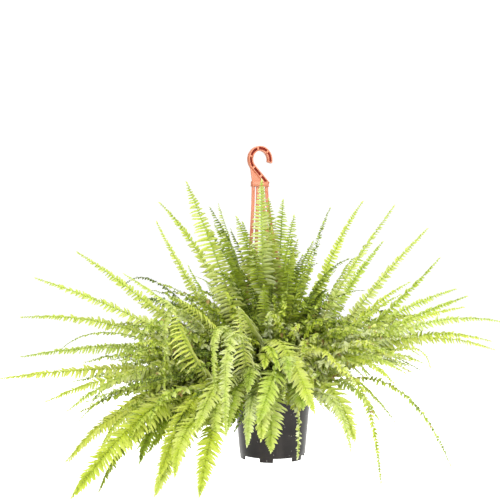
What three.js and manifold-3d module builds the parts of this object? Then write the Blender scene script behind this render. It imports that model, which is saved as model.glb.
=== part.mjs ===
// A sword fern in a nursery pot, on a moulded hanger with one hook, a collar and four straps.
// Millimetres, +Z up, -Y is the front. The origin is the seat of the hook, which the pot hangs by.
// Bearings are degrees round Z from +X, so 180 is the left and 270 is the front.

import * as THREE from 'three';
import { mergeVertices } from 'three/addons/utils/BufferGeometryUtils.js';
import Module from 'manifold-3d';

const wasm = await Module();
wasm.setup();

// ---- Pot -------------------------------------------------------------------------------------
const POT_X = 24; // the pot hangs a little to the right of the hook
const RIM_Z = -469; // top of the rim
const POT_HEIGHT = 118;
const RIM_RADIUS = 75;
const RIM_BAND = 6; // height of the lip
const WALL_TOP_RADIUS = 72.5;
const WALL_FOOT_RADIUS = 62;
const WALL = 1.6;
const FOOT_HEIGHT = 7.5;
const FOOT_COUNT = 6;
const FOOT_SPAN = 24; // degrees of the ring that each foot fills
const FIRST_FOOT = 258; // bearing of the foot left of the front
const FOOT_RING_WALL = 3;
const DRAIN_RADIUS = 5;
const DRAIN_CIRCLE = 40;
const POT_SIDES = 32;
const DRAIN_SIDES = 6;

// ---- Soil ------------------------------------------------------------------------------------
const SOIL_BELOW_RIM = 13;
const SOIL_Z = RIM_Z - SOIL_BELOW_RIM;
const FIT = 0.3; // clear gap between pieces that touch
const HOLE_DEPTH = 12;
const SOIL_SIDES = 20;
const SOIL_SHRINK = 0.7; // keeps the soil's flat sides clear of the pot's

// ---- Hanger ----------------------------------------------------------------------------------
const HOOK_TURN = 30; // degrees that the hook's plane is turned from the front
const HOOK_INNER_RADIUS = 17;
const HOOK_BAR = 9; // width of the bar, measured across the curve
const HOOK_DEPTH = 8;
const HOOK_END_ANGLE = -14; // where the hook's tip ends, round its own centre
const HOOK_NECK_ANGLE = 225; // where the curve runs into the straight neck
const HOOK_STEPS = 17;
const CHANNEL_WIDTH = 5.4; // the bar is hollowed on both faces, between cross ribs
const CHANNEL_DEPTH = 2.8;
const CROSS_RIB = 1.4;
const CROSS_RIB_PITCH = 20;
const COLLAR_TOP_Z = -59;
const COLLAR_HEIGHT = 10;
const COLLAR_HALF_WIDTH = 18;
const COLLAR_DEPTH = 8;
const GUSSET_DEPTH = 2.4;
const STRAP_WIDTH = 6.4;
const STRAP_THICKNESS = 2.5;
const STRAP_PITCH = 9.8; // spacing of the straps along the collar
const STRAP_BEARINGS = [215, 125, 305, 35]; // where each strap meets the rim, left to right
const STRAP_DROP = 80; // pull of the straight stretches at a strap's two ends
const STRAP_SLANT = 0.12;
const STRAP_TWIST = 0.4; // share of the strap over which it turns to face outward
const STRAP_STEPS = 12;
const CLIP_GAP = 0.7; // between the clip and the lip's outer face
const CLIP_HEIGHT = 8; // how far the clip stands above the rim
const CLIP_TOE = 4.2;
const CLIP_THICKNESS = 2.4;

// ---- Fronds ----------------------------------------------------------------------------------
const RIB_HALF = 1.6; // half thickness of a stalk
const NOTCH = 2.2; // distance from the rib to which leaflets are cut apart
const LEAFLET_PITCH = 26.5;
const LEAFLET_LEAN = 0.3; // how far a leaflet tip leans to the frond's tip, in pitches
const LEAFLET_DROP = 0.3; // how far a leaflet tip hangs, as a share of its length
const BARE_STALK = 0.16; // share of a frond's length with no leaflets
const CROWN_INNER = 6;
const CROWN_OUTER = 44;
const CLEARANCE = 0.35; // kept round each frond while the next ones are placed
const YOUNG_EVERY = 2; // every second frond has a young one at its foot, where one fits
const YOUNG_TURNS = [18, -18, 25, -25, 32, -32, 12, -12, 40, -40];
const YOUNG_SIZES = [0.66, 0.54, 0.44];
const YOUNG_LIFTS = [30, 60, 90, 0];

// Each row is one frond: bearing, reach and height of the tip, reach and height of the knee,
// half width and roll. They are measured from the middle of the soil. The rib leaves its root
// towards the knee and ends in the line from the knee to the tip.
const SHAPED_FRONDS = [
  // left, from the lowest to the highest
  [183, 517, 48, 150, 100, 24, -42],
  [172, 502, 79, 210, 150, 24, -46],
  [178, 485, 161, 230, 175, 23, -48],
  [186, 446, 238, 200, 165, 22, -44],
  [170, 391, 286, 200, 165, 22, -52],
  [160, 244, 346, 130, 150, 22, -50],
  [200, 222, 377, 95, 240, 23, 52],
  [158, 290, 190, 170, 220, 24, -40],
  [228, 229, 408, 110, 200, 26, 24],
  [140, 113, 380, 50, 200, 22, -32],
  // right, from the highest to the lowest
  [255, 83, 419, 75, 150, 28, 6],
  [80, 144, 393, 60, 200, 26, 8],
  [290, 110, 330, 70, 160, 25, 0],
  [62, 277, 381, 130, 220, 22, 26],
  [30, 205, 387, 90, 230, 22, 48],
  [338, 238, 371, 120, 220, 22, -50],
  [22, 240, 306, 130, 190, 22, 44],
  [10, 311, 332, 170, 190, 23, 50],
  [350, 314, 274, 200, 150, 22, 46],
  [17, 391, 211, 210, 170, 23, 46],
  [344, 366, 207, 190, 150, 23, 40],
  [5, 374, 179, 200, 150, 22, 44],
  [356, 431, 156, 230, 185, 24, 42],
  [10, 441, 95, 230, 170, 24, 40],
  [352, 410, 120, 230, 170, 24, 40],
  // drooping, round the front from left to right
  [190, 425, 12, 180, 120, 25, -38],
  [196, 388, 0, 210, 140, 24, -36],
  [206, 403, -76, 210, 120, 25, -34],
  [226, 468, -101, 250, 120, 28, -26],
  [214, 346, -110, 200, 130, 25, -28],
  [236, 341, -78, 210, 150, 26, -20],
  [238, 320, -108, 210, 160, 25, -14],
  [246, 320, 0, 190, 150, 26, -8],
  [258, 231, -30, 170, 150, 24, 0],
  [268, 200, -55, 150, 120, 24, 0],
  [284, 171, 13, 120, 90, 26, 6],
  [292, 130, 0, 100, 70, 22, 6],
  [308, 215, -44, 150, 110, 23, 16],
  [322, 240, -120, 212, 190, 11, 24],
  [326, 225, 3, 150, 120, 22, 22],
  [312, 299, 52, 180, 150, 25, 16],
  [350, 302, 56, 290, 180, 22, 30],
  [354, 335, -110, 240, 135, 11, 34],
  // over the front, tips towards the viewer
  [244, 209, 13, 150, 130, 24, -8],
  [226, 257, 113, 160, 150, 24, -18],
  [232, 277, 197, 160, 160, 25, -12],
  [256, 247, 193, 130, 150, 25, 0],
];

// The back of the plant, in tiers: count, first and last bearing, then a row as above.
const BACK_TIERS = [
  [4, 40, 145, 430, 60, 230, 170, 24],
  [2, 70, 115, 350, 220, 170, 170, 23],
];
const BACK_ROLL = 20;
const BACK_SHORTER = 0.06; // every second frond of a tier is shorter by this share

const COLORS = {
  pot: 0x3b343a,
  soil: 0x2c211a,
  hanger: 0xe5683f,
  frond: 0x8bb23c,
};

// ---- Geometry helpers ------------------------------------------------------------------------

/** Unit vector that points along a bearing. */
function outward(bearing) {
  const angle = THREE.MathUtils.degToRad(bearing);
  return new THREE.Vector3(Math.cos(angle), Math.sin(angle), 0);
}

/** Turn a closed three.js geometry into a solid. */
function toSolid(geometry) {
  const bare = new THREE.BufferGeometry();
  bare.setAttribute('position', geometry.getAttribute('position'));
  if (geometry.index) bare.setIndex(geometry.index);
  const merged = mergeVertices(bare, 1e-4);
  const mesh = new wasm.Mesh({
    numProp: 3,
    vertProperties: new Float32Array(merged.getAttribute('position').array),
    triVerts: new Uint32Array(merged.index.array),
  });
  return new wasm.Manifold(mesh);
}

/** Turn a solid back into a three.js geometry. */
function toGeometry(solid) {
  const mesh = solid.getMesh();
  const geometry = new THREE.BufferGeometry();
  geometry.setAttribute('position', new THREE.BufferAttribute(new Float32Array(mesh.vertProperties), 3));
  geometry.setIndex(new THREE.BufferAttribute(new Uint32Array(mesh.triVerts), 1));
  geometry.computeVertexNormals();
  return geometry;
}

/** Closed body through rings of points that all have the same count, with flat ends. */
function loft(rings) {
  const count = rings[0].length;
  const positions = rings.flat().flatMap((point) => point.toArray());
  const index = [];
  for (let ring = 0; ring + 1 < rings.length; ring += 1) {
    for (let corner = 0; corner < count; corner += 1) {
      const next = (corner + 1) % count;
      const low = ring * count;
      const high = low + count;
      index.push(low + corner, low + next, high + next);
      index.push(low + corner, high + next, high + corner);
    }
  }
  const last = (rings.length - 1) * count;
  for (let corner = 1; corner + 1 < count; corner += 1) {
    index.push(0, corner + 1, corner);
    index.push(last, last + corner, last + corner + 1);
  }
  const geometry = new THREE.BufferGeometry();
  geometry.setAttribute('position', new THREE.Float32BufferAttribute(positions, 3));
  geometry.setIndex(index);
  return geometry;
}

/** Upright prism with a regular outline, from one height to another. */
function prism(radius, sides, low, high, spot, spin = 0) {
  const geometry = new THREE.CylinderGeometry(radius, radius, high - low, sides, 1, false, spin);
  geometry.rotateX(Math.PI / 2);
  geometry.translate(spot.x, spot.y, (low + high) / 2);
  return toSolid(geometry);
}

/** Body of revolution round the pot's axis, from a profile of [radius, height] pairs. */
function turned(profile, sides) {
  const points = profile.map(([radius, height]) => new THREE.Vector2(radius, height));
  const geometry = new THREE.LatheGeometry(points, sides);
  geometry.rotateX(Math.PI / 2);
  geometry.translate(POT_X, 0, 0);
  return toSolid(geometry);
}

// ---- Pot and soil ----------------------------------------------------------------------------

const POT_FOOT_Z = RIM_Z - POT_HEIGHT;
const FLOOR_Z = POT_FOOT_Z + FOOT_HEIGHT;
const BAND_FOOT_Z = RIM_Z - RIM_BAND;

/** The gap between two feet, as a wedge cut out of the foot ring. */
function footGap(bearing) {
  const half = THREE.MathUtils.degToRad((360 / FOOT_COUNT - FOOT_SPAN) / 2);
  const middle = THREE.MathUtils.degToRad(bearing);
  const reach = WALL_FOOT_RADIUS * 1.3;
  const shape = new THREE.Shape();
  shape.moveTo(0, 0);
  shape.lineTo(reach * Math.cos(middle - half), reach * Math.sin(middle - half));
  shape.lineTo(reach * Math.cos(middle + half), reach * Math.sin(middle + half));
  const geometry = new THREE.ExtrudeGeometry(shape, { depth: FOOT_HEIGHT, bevelEnabled: false });
  geometry.translate(POT_X, 0, POT_FOOT_Z - 1);
  return toSolid(geometry);
}

function makePot() {
  const inner = WALL_TOP_RADIUS - WALL;
  let pot = turned([
    [0, FLOOR_Z],
    [WALL_FOOT_RADIUS - FOOT_RING_WALL, FLOOR_Z],
    [WALL_FOOT_RADIUS - FOOT_RING_WALL, POT_FOOT_Z],
    [WALL_FOOT_RADIUS, POT_FOOT_Z],
    [WALL_TOP_RADIUS, BAND_FOOT_Z],
    [RIM_RADIUS, BAND_FOOT_Z],
    [RIM_RADIUS, RIM_Z],
    [inner, RIM_Z],
    [inner, BAND_FOOT_Z],
    [WALL_FOOT_RADIUS - WALL, FLOOR_Z + WALL],
    [0, FLOOR_Z + WALL],
  ], POT_SIDES);
  for (let foot = 0; foot < FOOT_COUNT; foot += 1) {
    const step = 360 / FOOT_COUNT;
    const bearing = FIRST_FOOT + foot * step;
    pot = pot.subtract(footGap(bearing + step / 2));
    const spot = outward(bearing).multiplyScalar(DRAIN_CIRCLE);
    spot.x += POT_X;
    pot = pot.subtract(prism(DRAIN_RADIUS, DRAIN_SIDES, FLOOR_Z - 1, FLOOR_Z + WALL + 1, spot));
  }
  return toGeometry(pot);
}

/** The soil fills the pot, and each stalk stands in a plain hole in it. */
function makeSoil(roots) {
  const inset = WALL + FIT + SOIL_SHRINK;
  const top = WALL_TOP_RADIUS - inset;
  let soil = turned([
    [0, FLOOR_Z + WALL + FIT],
    [WALL_FOOT_RADIUS - inset, FLOOR_Z + WALL + FIT],
    [top - 1, SOIL_Z - 3],
    [top - 4, SOIL_Z],
    [0, SOIL_Z],
  ], SOIL_SIDES);
  for (const root of roots) {
    const spin = Math.PI / 2 + THREE.MathUtils.degToRad(root.bearing);
    soil = soil.subtract(prism(RIB_HALF + 2 * FIT, 4, SOIL_Z - HOLE_DEPTH, SOIL_Z + 1, root, spin));
  }
  return toGeometry(soil);
}

// ---- Hanger ----------------------------------------------------------------------------------

const HOOK_CENTRE_Z = -HOOK_INNER_RADIUS;
const HOOK_MIDDLE_RADIUS = HOOK_INNER_RADIUS + HOOK_BAR / 2;
const COLLAR_FOOT_Z = COLLAR_TOP_Z - COLLAR_HEIGHT;

/** Middle line of the hook in its own plane: a curve over the top, then a straight neck. */
function hookLine() {
  const points = [];
  for (let step = 0; step <= HOOK_STEPS; step += 1) {
    const degrees = THREE.MathUtils.lerp(HOOK_END_ANGLE, HOOK_NECK_ANGLE, step / HOOK_STEPS);
    const angle = THREE.MathUtils.degToRad(degrees);
    const x = HOOK_MIDDLE_RADIUS * Math.cos(angle);
    const z = HOOK_CENTRE_Z + HOOK_MIDDLE_RADIUS * Math.sin(angle);
    points.push(new THREE.Vector2(x, z));
  }
  const neckStart = points[points.length - 1];
  const fall = neckStart.y - (COLLAR_TOP_Z - COLLAR_HEIGHT / 2);
  points.push(new THREE.Vector2(neckStart.x + fall, neckStart.y - fall));
  return points;
}

/** The part of a polyline between two distances along it. */
function stretch(points, from, to) {
  const part = [];
  let walked = 0;
  for (let step = 0; step + 1 < points.length; step += 1) {
    const start = points[step];
    const end = points[step + 1];
    const length = start.distanceTo(end);
    const low = Math.max(from, walked);
    const high = Math.min(to, walked + length);
    if (high - low > 1e-6) {
      if (part.length === 0) part.push(start.clone().lerp(end, (low - walked) / length));
      part.push(start.clone().lerp(end, (high - walked) / length));
    }
    walked += length;
  }
  return part;
}

/** Closed band of a given half width round a polyline. */
function band(points, half) {
  const sides = [[], []];
  points.forEach((point, step) => {
    const before = points[Math.max(step - 1, 0)];
    const after = points[Math.min(step + 1, points.length - 1)];
    const along = after.clone().sub(before).normalize();
    sides[0].push(new THREE.Vector2(point.x - along.y * half, point.y + along.x * half));
    sides[1].push(new THREE.Vector2(point.x + along.y * half, point.y - along.x * half));
  });
  return new THREE.Shape([...sides[0], ...sides[1].reverse()]);
}

/** Extrude an outline of the hook's plane, centred on that plane or from one depth to another. */
function plate(shape, from, to) {
  const geometry = new THREE.ExtrudeGeometry(shape, { depth: to - from, bevelEnabled: false });
  geometry.translate(0, 0, from);
  geometry.rotateX(Math.PI / 2);
  return toSolid(geometry);
}

function rectangle(left, low, right, high) {
  return new THREE.Shape([
    new THREE.Vector2(left, low),
    new THREE.Vector2(right, low),
    new THREE.Vector2(right, high),
    new THREE.Vector2(left, high),
  ]);
}

/** Cut the channels between the cross ribs into both faces of the bar. */
function hollowBar(bar, line) {
  const half = HOOK_DEPTH / 2;
  const length = line.reduce((sum, point, step) => sum + (step ? point.distanceTo(line[step - 1]) : 0), 0);
  const cells = Math.floor(length / CROSS_RIB_PITCH);
  let hollowed = bar;
  for (let cell = 0; cell < cells; cell += 1) {
    const from = (cell * length) / cells + CROSS_RIB;
    const to = ((cell + 1) * length) / cells - CROSS_RIB;
    const channel = band(stretch(line, from, to), CHANNEL_WIDTH / 2);
    hollowed = hollowed.subtract(plate(channel, half - CHANNEL_DEPTH, half + 1));
    hollowed = hollowed.subtract(plate(channel, -half - 1, CHANNEL_DEPTH - half));
  }
  return hollowed;
}

/** Hook, thin gusset and collar, moulded as one, in the plane of the hook. */
function makeHook() {
  const line = hookLine();
  const bar = hollowBar(plate(band(line, HOOK_BAR / 2), -HOOK_DEPTH / 2, HOOK_DEPTH / 2), line);
  const gusset = new THREE.Shape([
    new THREE.Vector2(1 - COLLAR_HALF_WIDTH, COLLAR_TOP_Z - 2),
    new THREE.Vector2(HOOK_BAR + 2, COLLAR_TOP_Z - 2),
    new THREE.Vector2(-HOOK_MIDDLE_RADIUS * 0.62, HOOK_CENTRE_Z - HOOK_MIDDLE_RADIUS * 0.78),
    new THREE.Vector2(-HOOK_MIDDLE_RADIUS - 1.5, HOOK_CENTRE_Z - 6),
  ]);
  const collar = rectangle(-COLLAR_HALF_WIDTH, COLLAR_FOOT_Z, COLLAR_HALF_WIDTH, COLLAR_TOP_Z);
  return toGeometry(bar
    .add(plate(gusset, -GUSSET_DEPTH / 2, GUSSET_DEPTH / 2))
    .add(plate(collar, -COLLAR_DEPTH / 2, COLLAR_DEPTH / 2)));
}

/** Four corners of a flat section. */
function flatRing(point, width, depth, halfWidth, halfDepth) {
  return [[1, 1], [-1, 1], [-1, -1], [1, -1]].map(([a, b]) => (
    point.clone().addScaledVector(width, a * halfWidth).addScaledVector(depth, b * halfDepth)
  ));
}

/** The long band of one strap, from the collar down to its clip above the pot's lip. */
function makeBand(start, away, across) {
  const end = new THREE.Vector3(POT_X, 0, RIM_Z + CLIP_HEIGHT);
  end.addScaledVector(away, RIM_RADIUS + CLIP_GAP + STRAP_THICKNESS / 2);
  const lastPull = new THREE.Vector3(0, 0, STRAP_DROP).addScaledVector(away, -STRAP_DROP * STRAP_SLANT);
  const firstPull = new THREE.Vector3(0, 0, -STRAP_DROP);
  const knees = [start.clone().add(firstPull), end.clone().add(lastPull)];
  const route = new THREE.CubicBezierCurve3(start, ...knees, end);
  const topAcross = outward(HOOK_TURN);
  if (topAcross.dot(across) < 0) topAcross.negate();
  const rings = [];
  for (let step = 0; step <= STRAP_STEPS; step += 1) {
    const share = step / STRAP_STEPS;
    const along = route.getTangent(share);
    const width = topAcross.clone().lerp(across, Math.min(1, share / STRAP_TWIST));
    width.addScaledVector(along, -width.dot(along)).normalize();
    const depth = along.clone().cross(width);
    rings.push(flatRing(route.getPoint(share), width, depth, STRAP_WIDTH / 2, STRAP_THICKNESS / 2));
  }
  return toSolid(loft(rings));
}

/** The clip at a strap's foot: down outside the lip, then a toe in under it. */
function makeClip(away, across) {
  const inside = RIM_RADIUS + CLIP_GAP;
  const outside = inside + STRAP_THICKNESS;
  const low = BAND_FOOT_Z - FIT;
  const outline = new THREE.Shape([
    new THREE.Vector2(inside, RIM_Z + CLIP_HEIGHT + 0.6),
    new THREE.Vector2(outside, RIM_Z + CLIP_HEIGHT + 0.6),
    new THREE.Vector2(outside, low - CLIP_THICKNESS),
    new THREE.Vector2(outside - CLIP_TOE, low - CLIP_THICKNESS),
    new THREE.Vector2(outside - CLIP_TOE, low),
    new THREE.Vector2(inside, low),
  ]);
  const geometry = new THREE.ExtrudeGeometry(outline, { depth: STRAP_WIDTH, bevelEnabled: false });
  geometry.translate(0, 0, -STRAP_WIDTH / 2);
  const up = new THREE.Vector3(0, 0, 1);
  geometry.applyMatrix4(new THREE.Matrix4().makeBasis(away, up, across.clone().negate()));
  geometry.translate(POT_X, 0, 0);
  return toSolid(geometry);
}

/** One strap: it leaves the collar downward, turns to face outward and clips under the lip. */
function makeStrap(number) {
  const away = outward(STRAP_BEARINGS[number]);
  const across = new THREE.Vector3(-away.y, away.x, 0);
  const place = (number - (STRAP_BEARINGS.length - 1) / 2) * STRAP_PITCH;
  const start = outward(HOOK_TURN).multiplyScalar(place).setZ(COLLAR_FOOT_Z - FIT);
  return toGeometry(makeBand(start, away, across).add(makeClip(away, across)));
}

// ---- Fronds ----------------------------------------------------------------------------------

/** A rib is a curve in an upright plane from its root to its tip. */
function ribOf({ bearing, root, reach, height, kneeReach, kneeHeight }) {
  const away = outward(bearing);
  const across = new THREE.Vector3(-away.y, away.x, 0);
  const inPlane = (distance, up) => new THREE.Vector3(POT_X, 0, SOIL_Z + up).addScaledVector(away, distance);
  const start = new THREE.Vector3(root.x, root.y, SOIL_Z);
  const knee = inPlane(kneeReach, kneeHeight);
  const curve = new THREE.QuadraticBezierCurve3(start, knee, inPlane(reach, height));
  const length = curve.getLength();
  const at = (walked) => {
    const share = Math.min(1, walked / length);
    const along = curve.getTangentAt(share);
    return { point: curve.getPointAt(share), along, normal: along.clone().cross(across), across };
  };
  return { at, length };
}

/** Half width of the blade at a share of its length: short at the foot, fine at the tip. */
function bladeWidth(share, widest) {
  return widest * Math.min(1, 0.25 + 2.4 * share) * (1 - share ** 2.6) + 2.5;
}

/** One frond as a closed body: a stalk of four corners, then leaflets cut to the rib. */
function frondGeometry(frond, extra = 0) {
  const { length, at } = ribOf(frond);
  const positions = [];
  const index = [];
  const push = (point) => positions.push(...point.toArray()) / 3 - 1;
  const bladeStart = length * BARE_STALK;
  const pairs = Math.max(6, Math.round((length - bladeStart) / LEAFLET_PITCH));
  const pitch = (length - bladeStart) / (pairs + 0.6);
  const stalkSteps = Math.max(2, Math.round(bladeStart / 28));
  const roll = THREE.MathUtils.degToRad(frond.roll);

  const sectionAt = (walked, halfSide, halfUp) => {
    const { point, along, normal, across } = at(walked);
    const ease = Math.min(1, walked / (length * 0.35));
    const angle = roll * ease * ease * (3 - 2 * ease);
    const side = across.clone().multiplyScalar(Math.cos(angle)).addScaledVector(normal, Math.sin(angle));
    const up = normal.clone().multiplyScalar(Math.cos(angle)).addScaledVector(across, -Math.sin(angle));
    return { point, along, side, up, halfSide, halfUp };
  };
  const ring = ({ point, side, up, halfSide, halfUp }) => [
    push(point.clone().addScaledVector(up, halfUp)),
    push(point.clone().addScaledVector(side, -halfSide)),
    push(point.clone().addScaledVector(up, -halfUp)),
    push(point.clone().addScaledVector(side, halfSide)),
  ];
  const wall = (low, high, from, to) => {
    for (let corner = from; corner < to; corner += 1) {
      const next = (corner + 1) % 4;
      index.push(low[corner], low[next], high[next]);
      index.push(low[corner], high[next], high[corner]);
    }
  };

  const thick = RIB_HALF + extra;
  const rings = [];
  if (!frond.young) {
    for (const depth of [HOLE_DEPTH - FIT, -0.5]) {
      const away = outward(frond.bearing);
      const across = new THREE.Vector3(-away.y, away.x, 0);
      const point = new THREE.Vector3(frond.root.x, frond.root.y, SOIL_Z - depth);
      const up = away.clone().negate();
      rings.push(ring({ point, side: across, up, halfSide: thick, halfUp: thick }));
    }
  }
  for (let step = frond.young ? 0 : 1; step <= stalkSteps; step += 1) {
    const share = step / stalkSteps;
    const inRoot = frond.young && step === 0 ? 0.5 : 1;
    const size = thick * inRoot * (1 - 0.25 * share);
    rings.push(ring(sectionAt(frond.young && step === 0 ? 1.5 : bladeStart * share, size, size)));
  }
  for (let step = 0; step + 1 < rings.length; step += 1) wall(rings[step], rings[step + 1], 0, 4);
  index.push(rings[0][0], rings[0][2], rings[0][1], rings[0][0], rings[0][3], rings[0][2]);

  let low = rings[rings.length - 1];
  for (let pair = 0; pair < pairs; pair += 1) {
    const walked = bladeStart + pitch * (pair + 1);
    const share = (pair + 0.5) / pairs;
    const thin = 1 - 0.45 * share;
    const high = ring(sectionAt(walked, NOTCH * thin + extra, thick * 0.7 * thin));
    const reach = bladeWidth(share, frond.halfWidth) + extra;
    const middle = sectionAt(walked - pitch * (0.5 - LEAFLET_LEAN), 0, 0);
    for (const [hand, notch] of [[-1, 1], [1, 3]]) {
      const tip = middle.point.clone().addScaledVector(middle.side, hand * reach);
      tip.addScaledVector(middle.up, -reach * LEAFLET_DROP);
      const tipIndex = push(tip);
      const faces = [
        [low[0], low[notch], tipIndex],
        [low[0], tipIndex, high[0]],
        [high[0], tipIndex, high[notch]],
        [low[2], tipIndex, low[notch]],
        [low[2], high[2], tipIndex],
        [high[2], high[notch], tipIndex],
      ];
      for (const face of faces) index.push(...(hand < 0 ? face : face.reverse()));
    }
    low = high;
  }
  const end = push(at(length).point);
  for (let corner = 0; corner < 4; corner += 1) index.push(low[corner], low[(corner + 1) % 4], end);
  const geometry = new THREE.BufferGeometry();
  geometry.setAttribute('position', new THREE.Float32BufferAttribute(positions, 3));
  geometry.setIndex(index);
  return geometry;
}

/** Where a frond's root stands: steep ones near the middle, flat ones near the rim. */
function rootOf(frond, shift) {
  const launch = THREE.MathUtils.radToDeg(Math.atan2(frond.kneeHeight, frond.kneeReach - 30));
  const steep = THREE.MathUtils.clamp((launch - 35) / 50, 0, 1);
  const radius = CROWN_OUTER + (CROWN_INNER - CROWN_OUTER) * steep + shift;
  const spot = outward(frond.bearing).multiplyScalar(radius);
  return { x: POT_X + spot.x, y: spot.y, bearing: frond.bearing };
}

/** A young frond that shares a grown one's foot: shorter and turned aside. */
function youngOf(frond, turn, size, lift) {
  return {
    ...frond,
    young: true,
    bearing: frond.bearing + turn,
    reach: frond.reach * size,
    height: Math.max(frond.height, 0) * size + lift,
    kneeReach: frond.kneeReach * size,
    kneeHeight: frond.kneeHeight * size + lift / 2,
    halfWidth: frond.halfWidth * 0.85,
  };
}

/** The fronds in the order in which they are placed. */
function frondList() {
  const names = ['bearing', 'reach', 'height', 'kneeReach', 'kneeHeight', 'halfWidth', 'roll'];
  const fronds = SHAPED_FRONDS.map((row) => Object.fromEntries(names.map((name, at) => [name, row[at]])));
  for (const [count, first, last, reach, height, kneeReach, kneeHeight, halfWidth] of BACK_TIERS) {
    for (let place = 0; place < count; place += 1) {
      const bearing = first + ((last - first) * place) / (count - 1);
      const roll = BACK_ROLL * Math.cos(THREE.MathUtils.degToRad(bearing * 2));
      const nearer = 1 - BACK_SHORTER * (place % 2);
      fronds.push({ bearing, reach: reach * nearer, height, kneeReach, kneeHeight, halfWidth, roll });
    }
  }
  return fronds;
}

/** Small changes to a frond's place, from the least to the greatest. */
function changes() {
  const list = [];
  for (let turn = -24; turn <= 24; turn += 3) {
    for (const shift of [0, 7, -7]) {
      for (const lift of [0, 14, -14, 28, -28, 42]) {
        const cost = Math.abs(turn) / 8 + Math.abs(lift) / 14 + Math.abs(shift) / 20;
        list.push({ turn, shift, lift, cost });
      }
    }
  }
  return list.sort((one, other) => one.cost - other.cost);
}

/** Turn or lift each frond a little, or move its root, until it is clear of those already placed. */
function placeFronds(fronds, fixed) {
  const guards = [...fixed];
  const placed = [];
  const tries = changes();
  const isClear = (guard, own) => guards.every((other) => other === own || guard.intersect(other).isEmpty());
  fronds.forEach((frond, number) => {
    for (const { turn, shift, lift } of tries) {
      const tried = {
        ...frond,
        bearing: frond.bearing + turn,
        height: frond.height + lift,
        kneeHeight: frond.kneeHeight + lift,
      };
      tried.root = rootOf(tried, shift);
      const guard = toSolid(frondGeometry(tried, CLEARANCE));
      if (isClear(guard, null)) {
        guards.push(guard);
        placed.push({ frond: tried, guard, body: toSolid(frondGeometry(tried)) });
        return;
      }
    }
  });
  addYoungFronds(placed, guards, isClear);
  return placed;
}

/** Add young fronds, each fused to the foot of a grown one. */
function addYoungFronds(placed, guards, isClear) {
  const tries = [];
  for (const size of YOUNG_SIZES) {
    for (const turn of YOUNG_TURNS) {
      for (const lift of YOUNG_LIFTS) tries.push({ size, turn, lift });
    }
  }
  for (const grown of placed.filter((_, number) => number % YOUNG_EVERY === 1)) {
    for (const { size, turn, lift } of tries) {
      const young = youngOf(grown.frond, turn, size, lift);
      const guard = toSolid(frondGeometry(young, CLEARANCE));
      if (!isClear(guard, grown.guard)) continue;
      guards.push(guard);
      grown.body = grown.body.add(toSolid(frondGeometry(young)));
      break;
    }
  }
}

// ---- The scene graph -------------------------------------------------------------------------

function material(color, roughness) {
  return new THREE.MeshStandardMaterial({ color, roughness, metalness: 0 });
}

function named(name, geometry, surface) {
  const mesh = new THREE.Mesh(geometry, surface);
  mesh.name = name;
  return mesh;
}

function build() {
  const group = new THREE.Group();
  const plastic = material(COLORS.hanger, 0.4);
  const leaf = material(COLORS.frond, 0.6);

  const hook = makeHook();
  hook.rotateZ(THREE.MathUtils.degToRad(HOOK_TURN));
  group.add(named('hanger_hook', hook, plastic));
  const straps = STRAP_BEARINGS.map((bearing, number) => makeStrap(number));
  straps.forEach((strap, number) => group.add(named(`hanger_strap_${number + 1}`, strap, plastic)));
  const pot = makePot();
  group.add(named('pot', pot, material(COLORS.pot, 0.55)));

  const fixed = [hook, pot, ...straps].map(toSolid);
  const placed = placeFronds(frondList(), fixed);
  placed.forEach((grown, number) => {
    const name = `frond_${String(number + 1).padStart(2, '0')}`;
    group.add(named(name, toGeometry(grown.body), leaf));
  });
  const soil = makeSoil(placed.map((grown) => grown.frond.root));
  group.add(named('soil', soil, material(COLORS.soil, 0.95)));
  return group;
}

export default build();
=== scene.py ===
"""The looks of a sword fern in a hanging nursery pot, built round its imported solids.

Metres, +Z up, -Y is the front. The origin is the seat of the hook. Bearings are degrees round Z
from +X, so 180 is the left and 270 is the front.
"""

import logging
import math
import random
from collections.abc import Callable
from dataclasses import dataclass
from enum import Enum

import bmesh
import bpy
import numpy as np
from mathutils import Matrix, Vector, noise


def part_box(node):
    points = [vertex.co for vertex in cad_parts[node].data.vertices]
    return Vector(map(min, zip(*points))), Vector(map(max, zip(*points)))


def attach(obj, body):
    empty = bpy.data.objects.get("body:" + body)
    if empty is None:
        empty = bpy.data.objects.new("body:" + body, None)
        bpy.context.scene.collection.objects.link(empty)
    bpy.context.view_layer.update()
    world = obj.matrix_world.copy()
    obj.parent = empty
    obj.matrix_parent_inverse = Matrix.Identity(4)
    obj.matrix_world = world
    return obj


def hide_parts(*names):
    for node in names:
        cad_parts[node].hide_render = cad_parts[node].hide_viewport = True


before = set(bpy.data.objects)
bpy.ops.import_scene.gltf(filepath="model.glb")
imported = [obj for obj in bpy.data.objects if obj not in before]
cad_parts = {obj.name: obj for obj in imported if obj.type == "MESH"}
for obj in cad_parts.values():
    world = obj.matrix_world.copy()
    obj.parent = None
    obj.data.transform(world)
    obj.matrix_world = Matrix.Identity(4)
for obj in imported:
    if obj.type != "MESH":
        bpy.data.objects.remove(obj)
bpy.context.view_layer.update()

LOG = logging.getLogger("fern")
MM = 0.001
UP = Vector((0, 0, 1))
SAME_WAY = 0.9  # least cosine between a face's normal and the way it is said to look

Colour = tuple[float, float, float]
Mesh = bmesh.types.BMesh
Faces = list[bmesh.types.BMFace]
Verts = list[bmesh.types.BMVert]
Material = bpy.types.Material
Socket = bpy.types.NodeSocket
Sockets = bpy.types.bpy_prop_collection
Tree = bpy.types.NodeTree
Walk = Callable[[float], tuple[Vector, Vector, Vector, Vector]]  # point, along, side and up


# ---- Small helpers -------------------------------------------------------------------------


def outward(bearing: float) -> Vector:
    """Returns the unit vector that points along a bearing in degrees."""
    angle = math.radians(bearing)
    return Vector((math.cos(angle), math.sin(angle), 0))


def sideways(bearing: float) -> Vector:
    """Returns the level unit vector to the left of a bearing in degrees."""
    return outward(bearing + 90)


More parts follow.
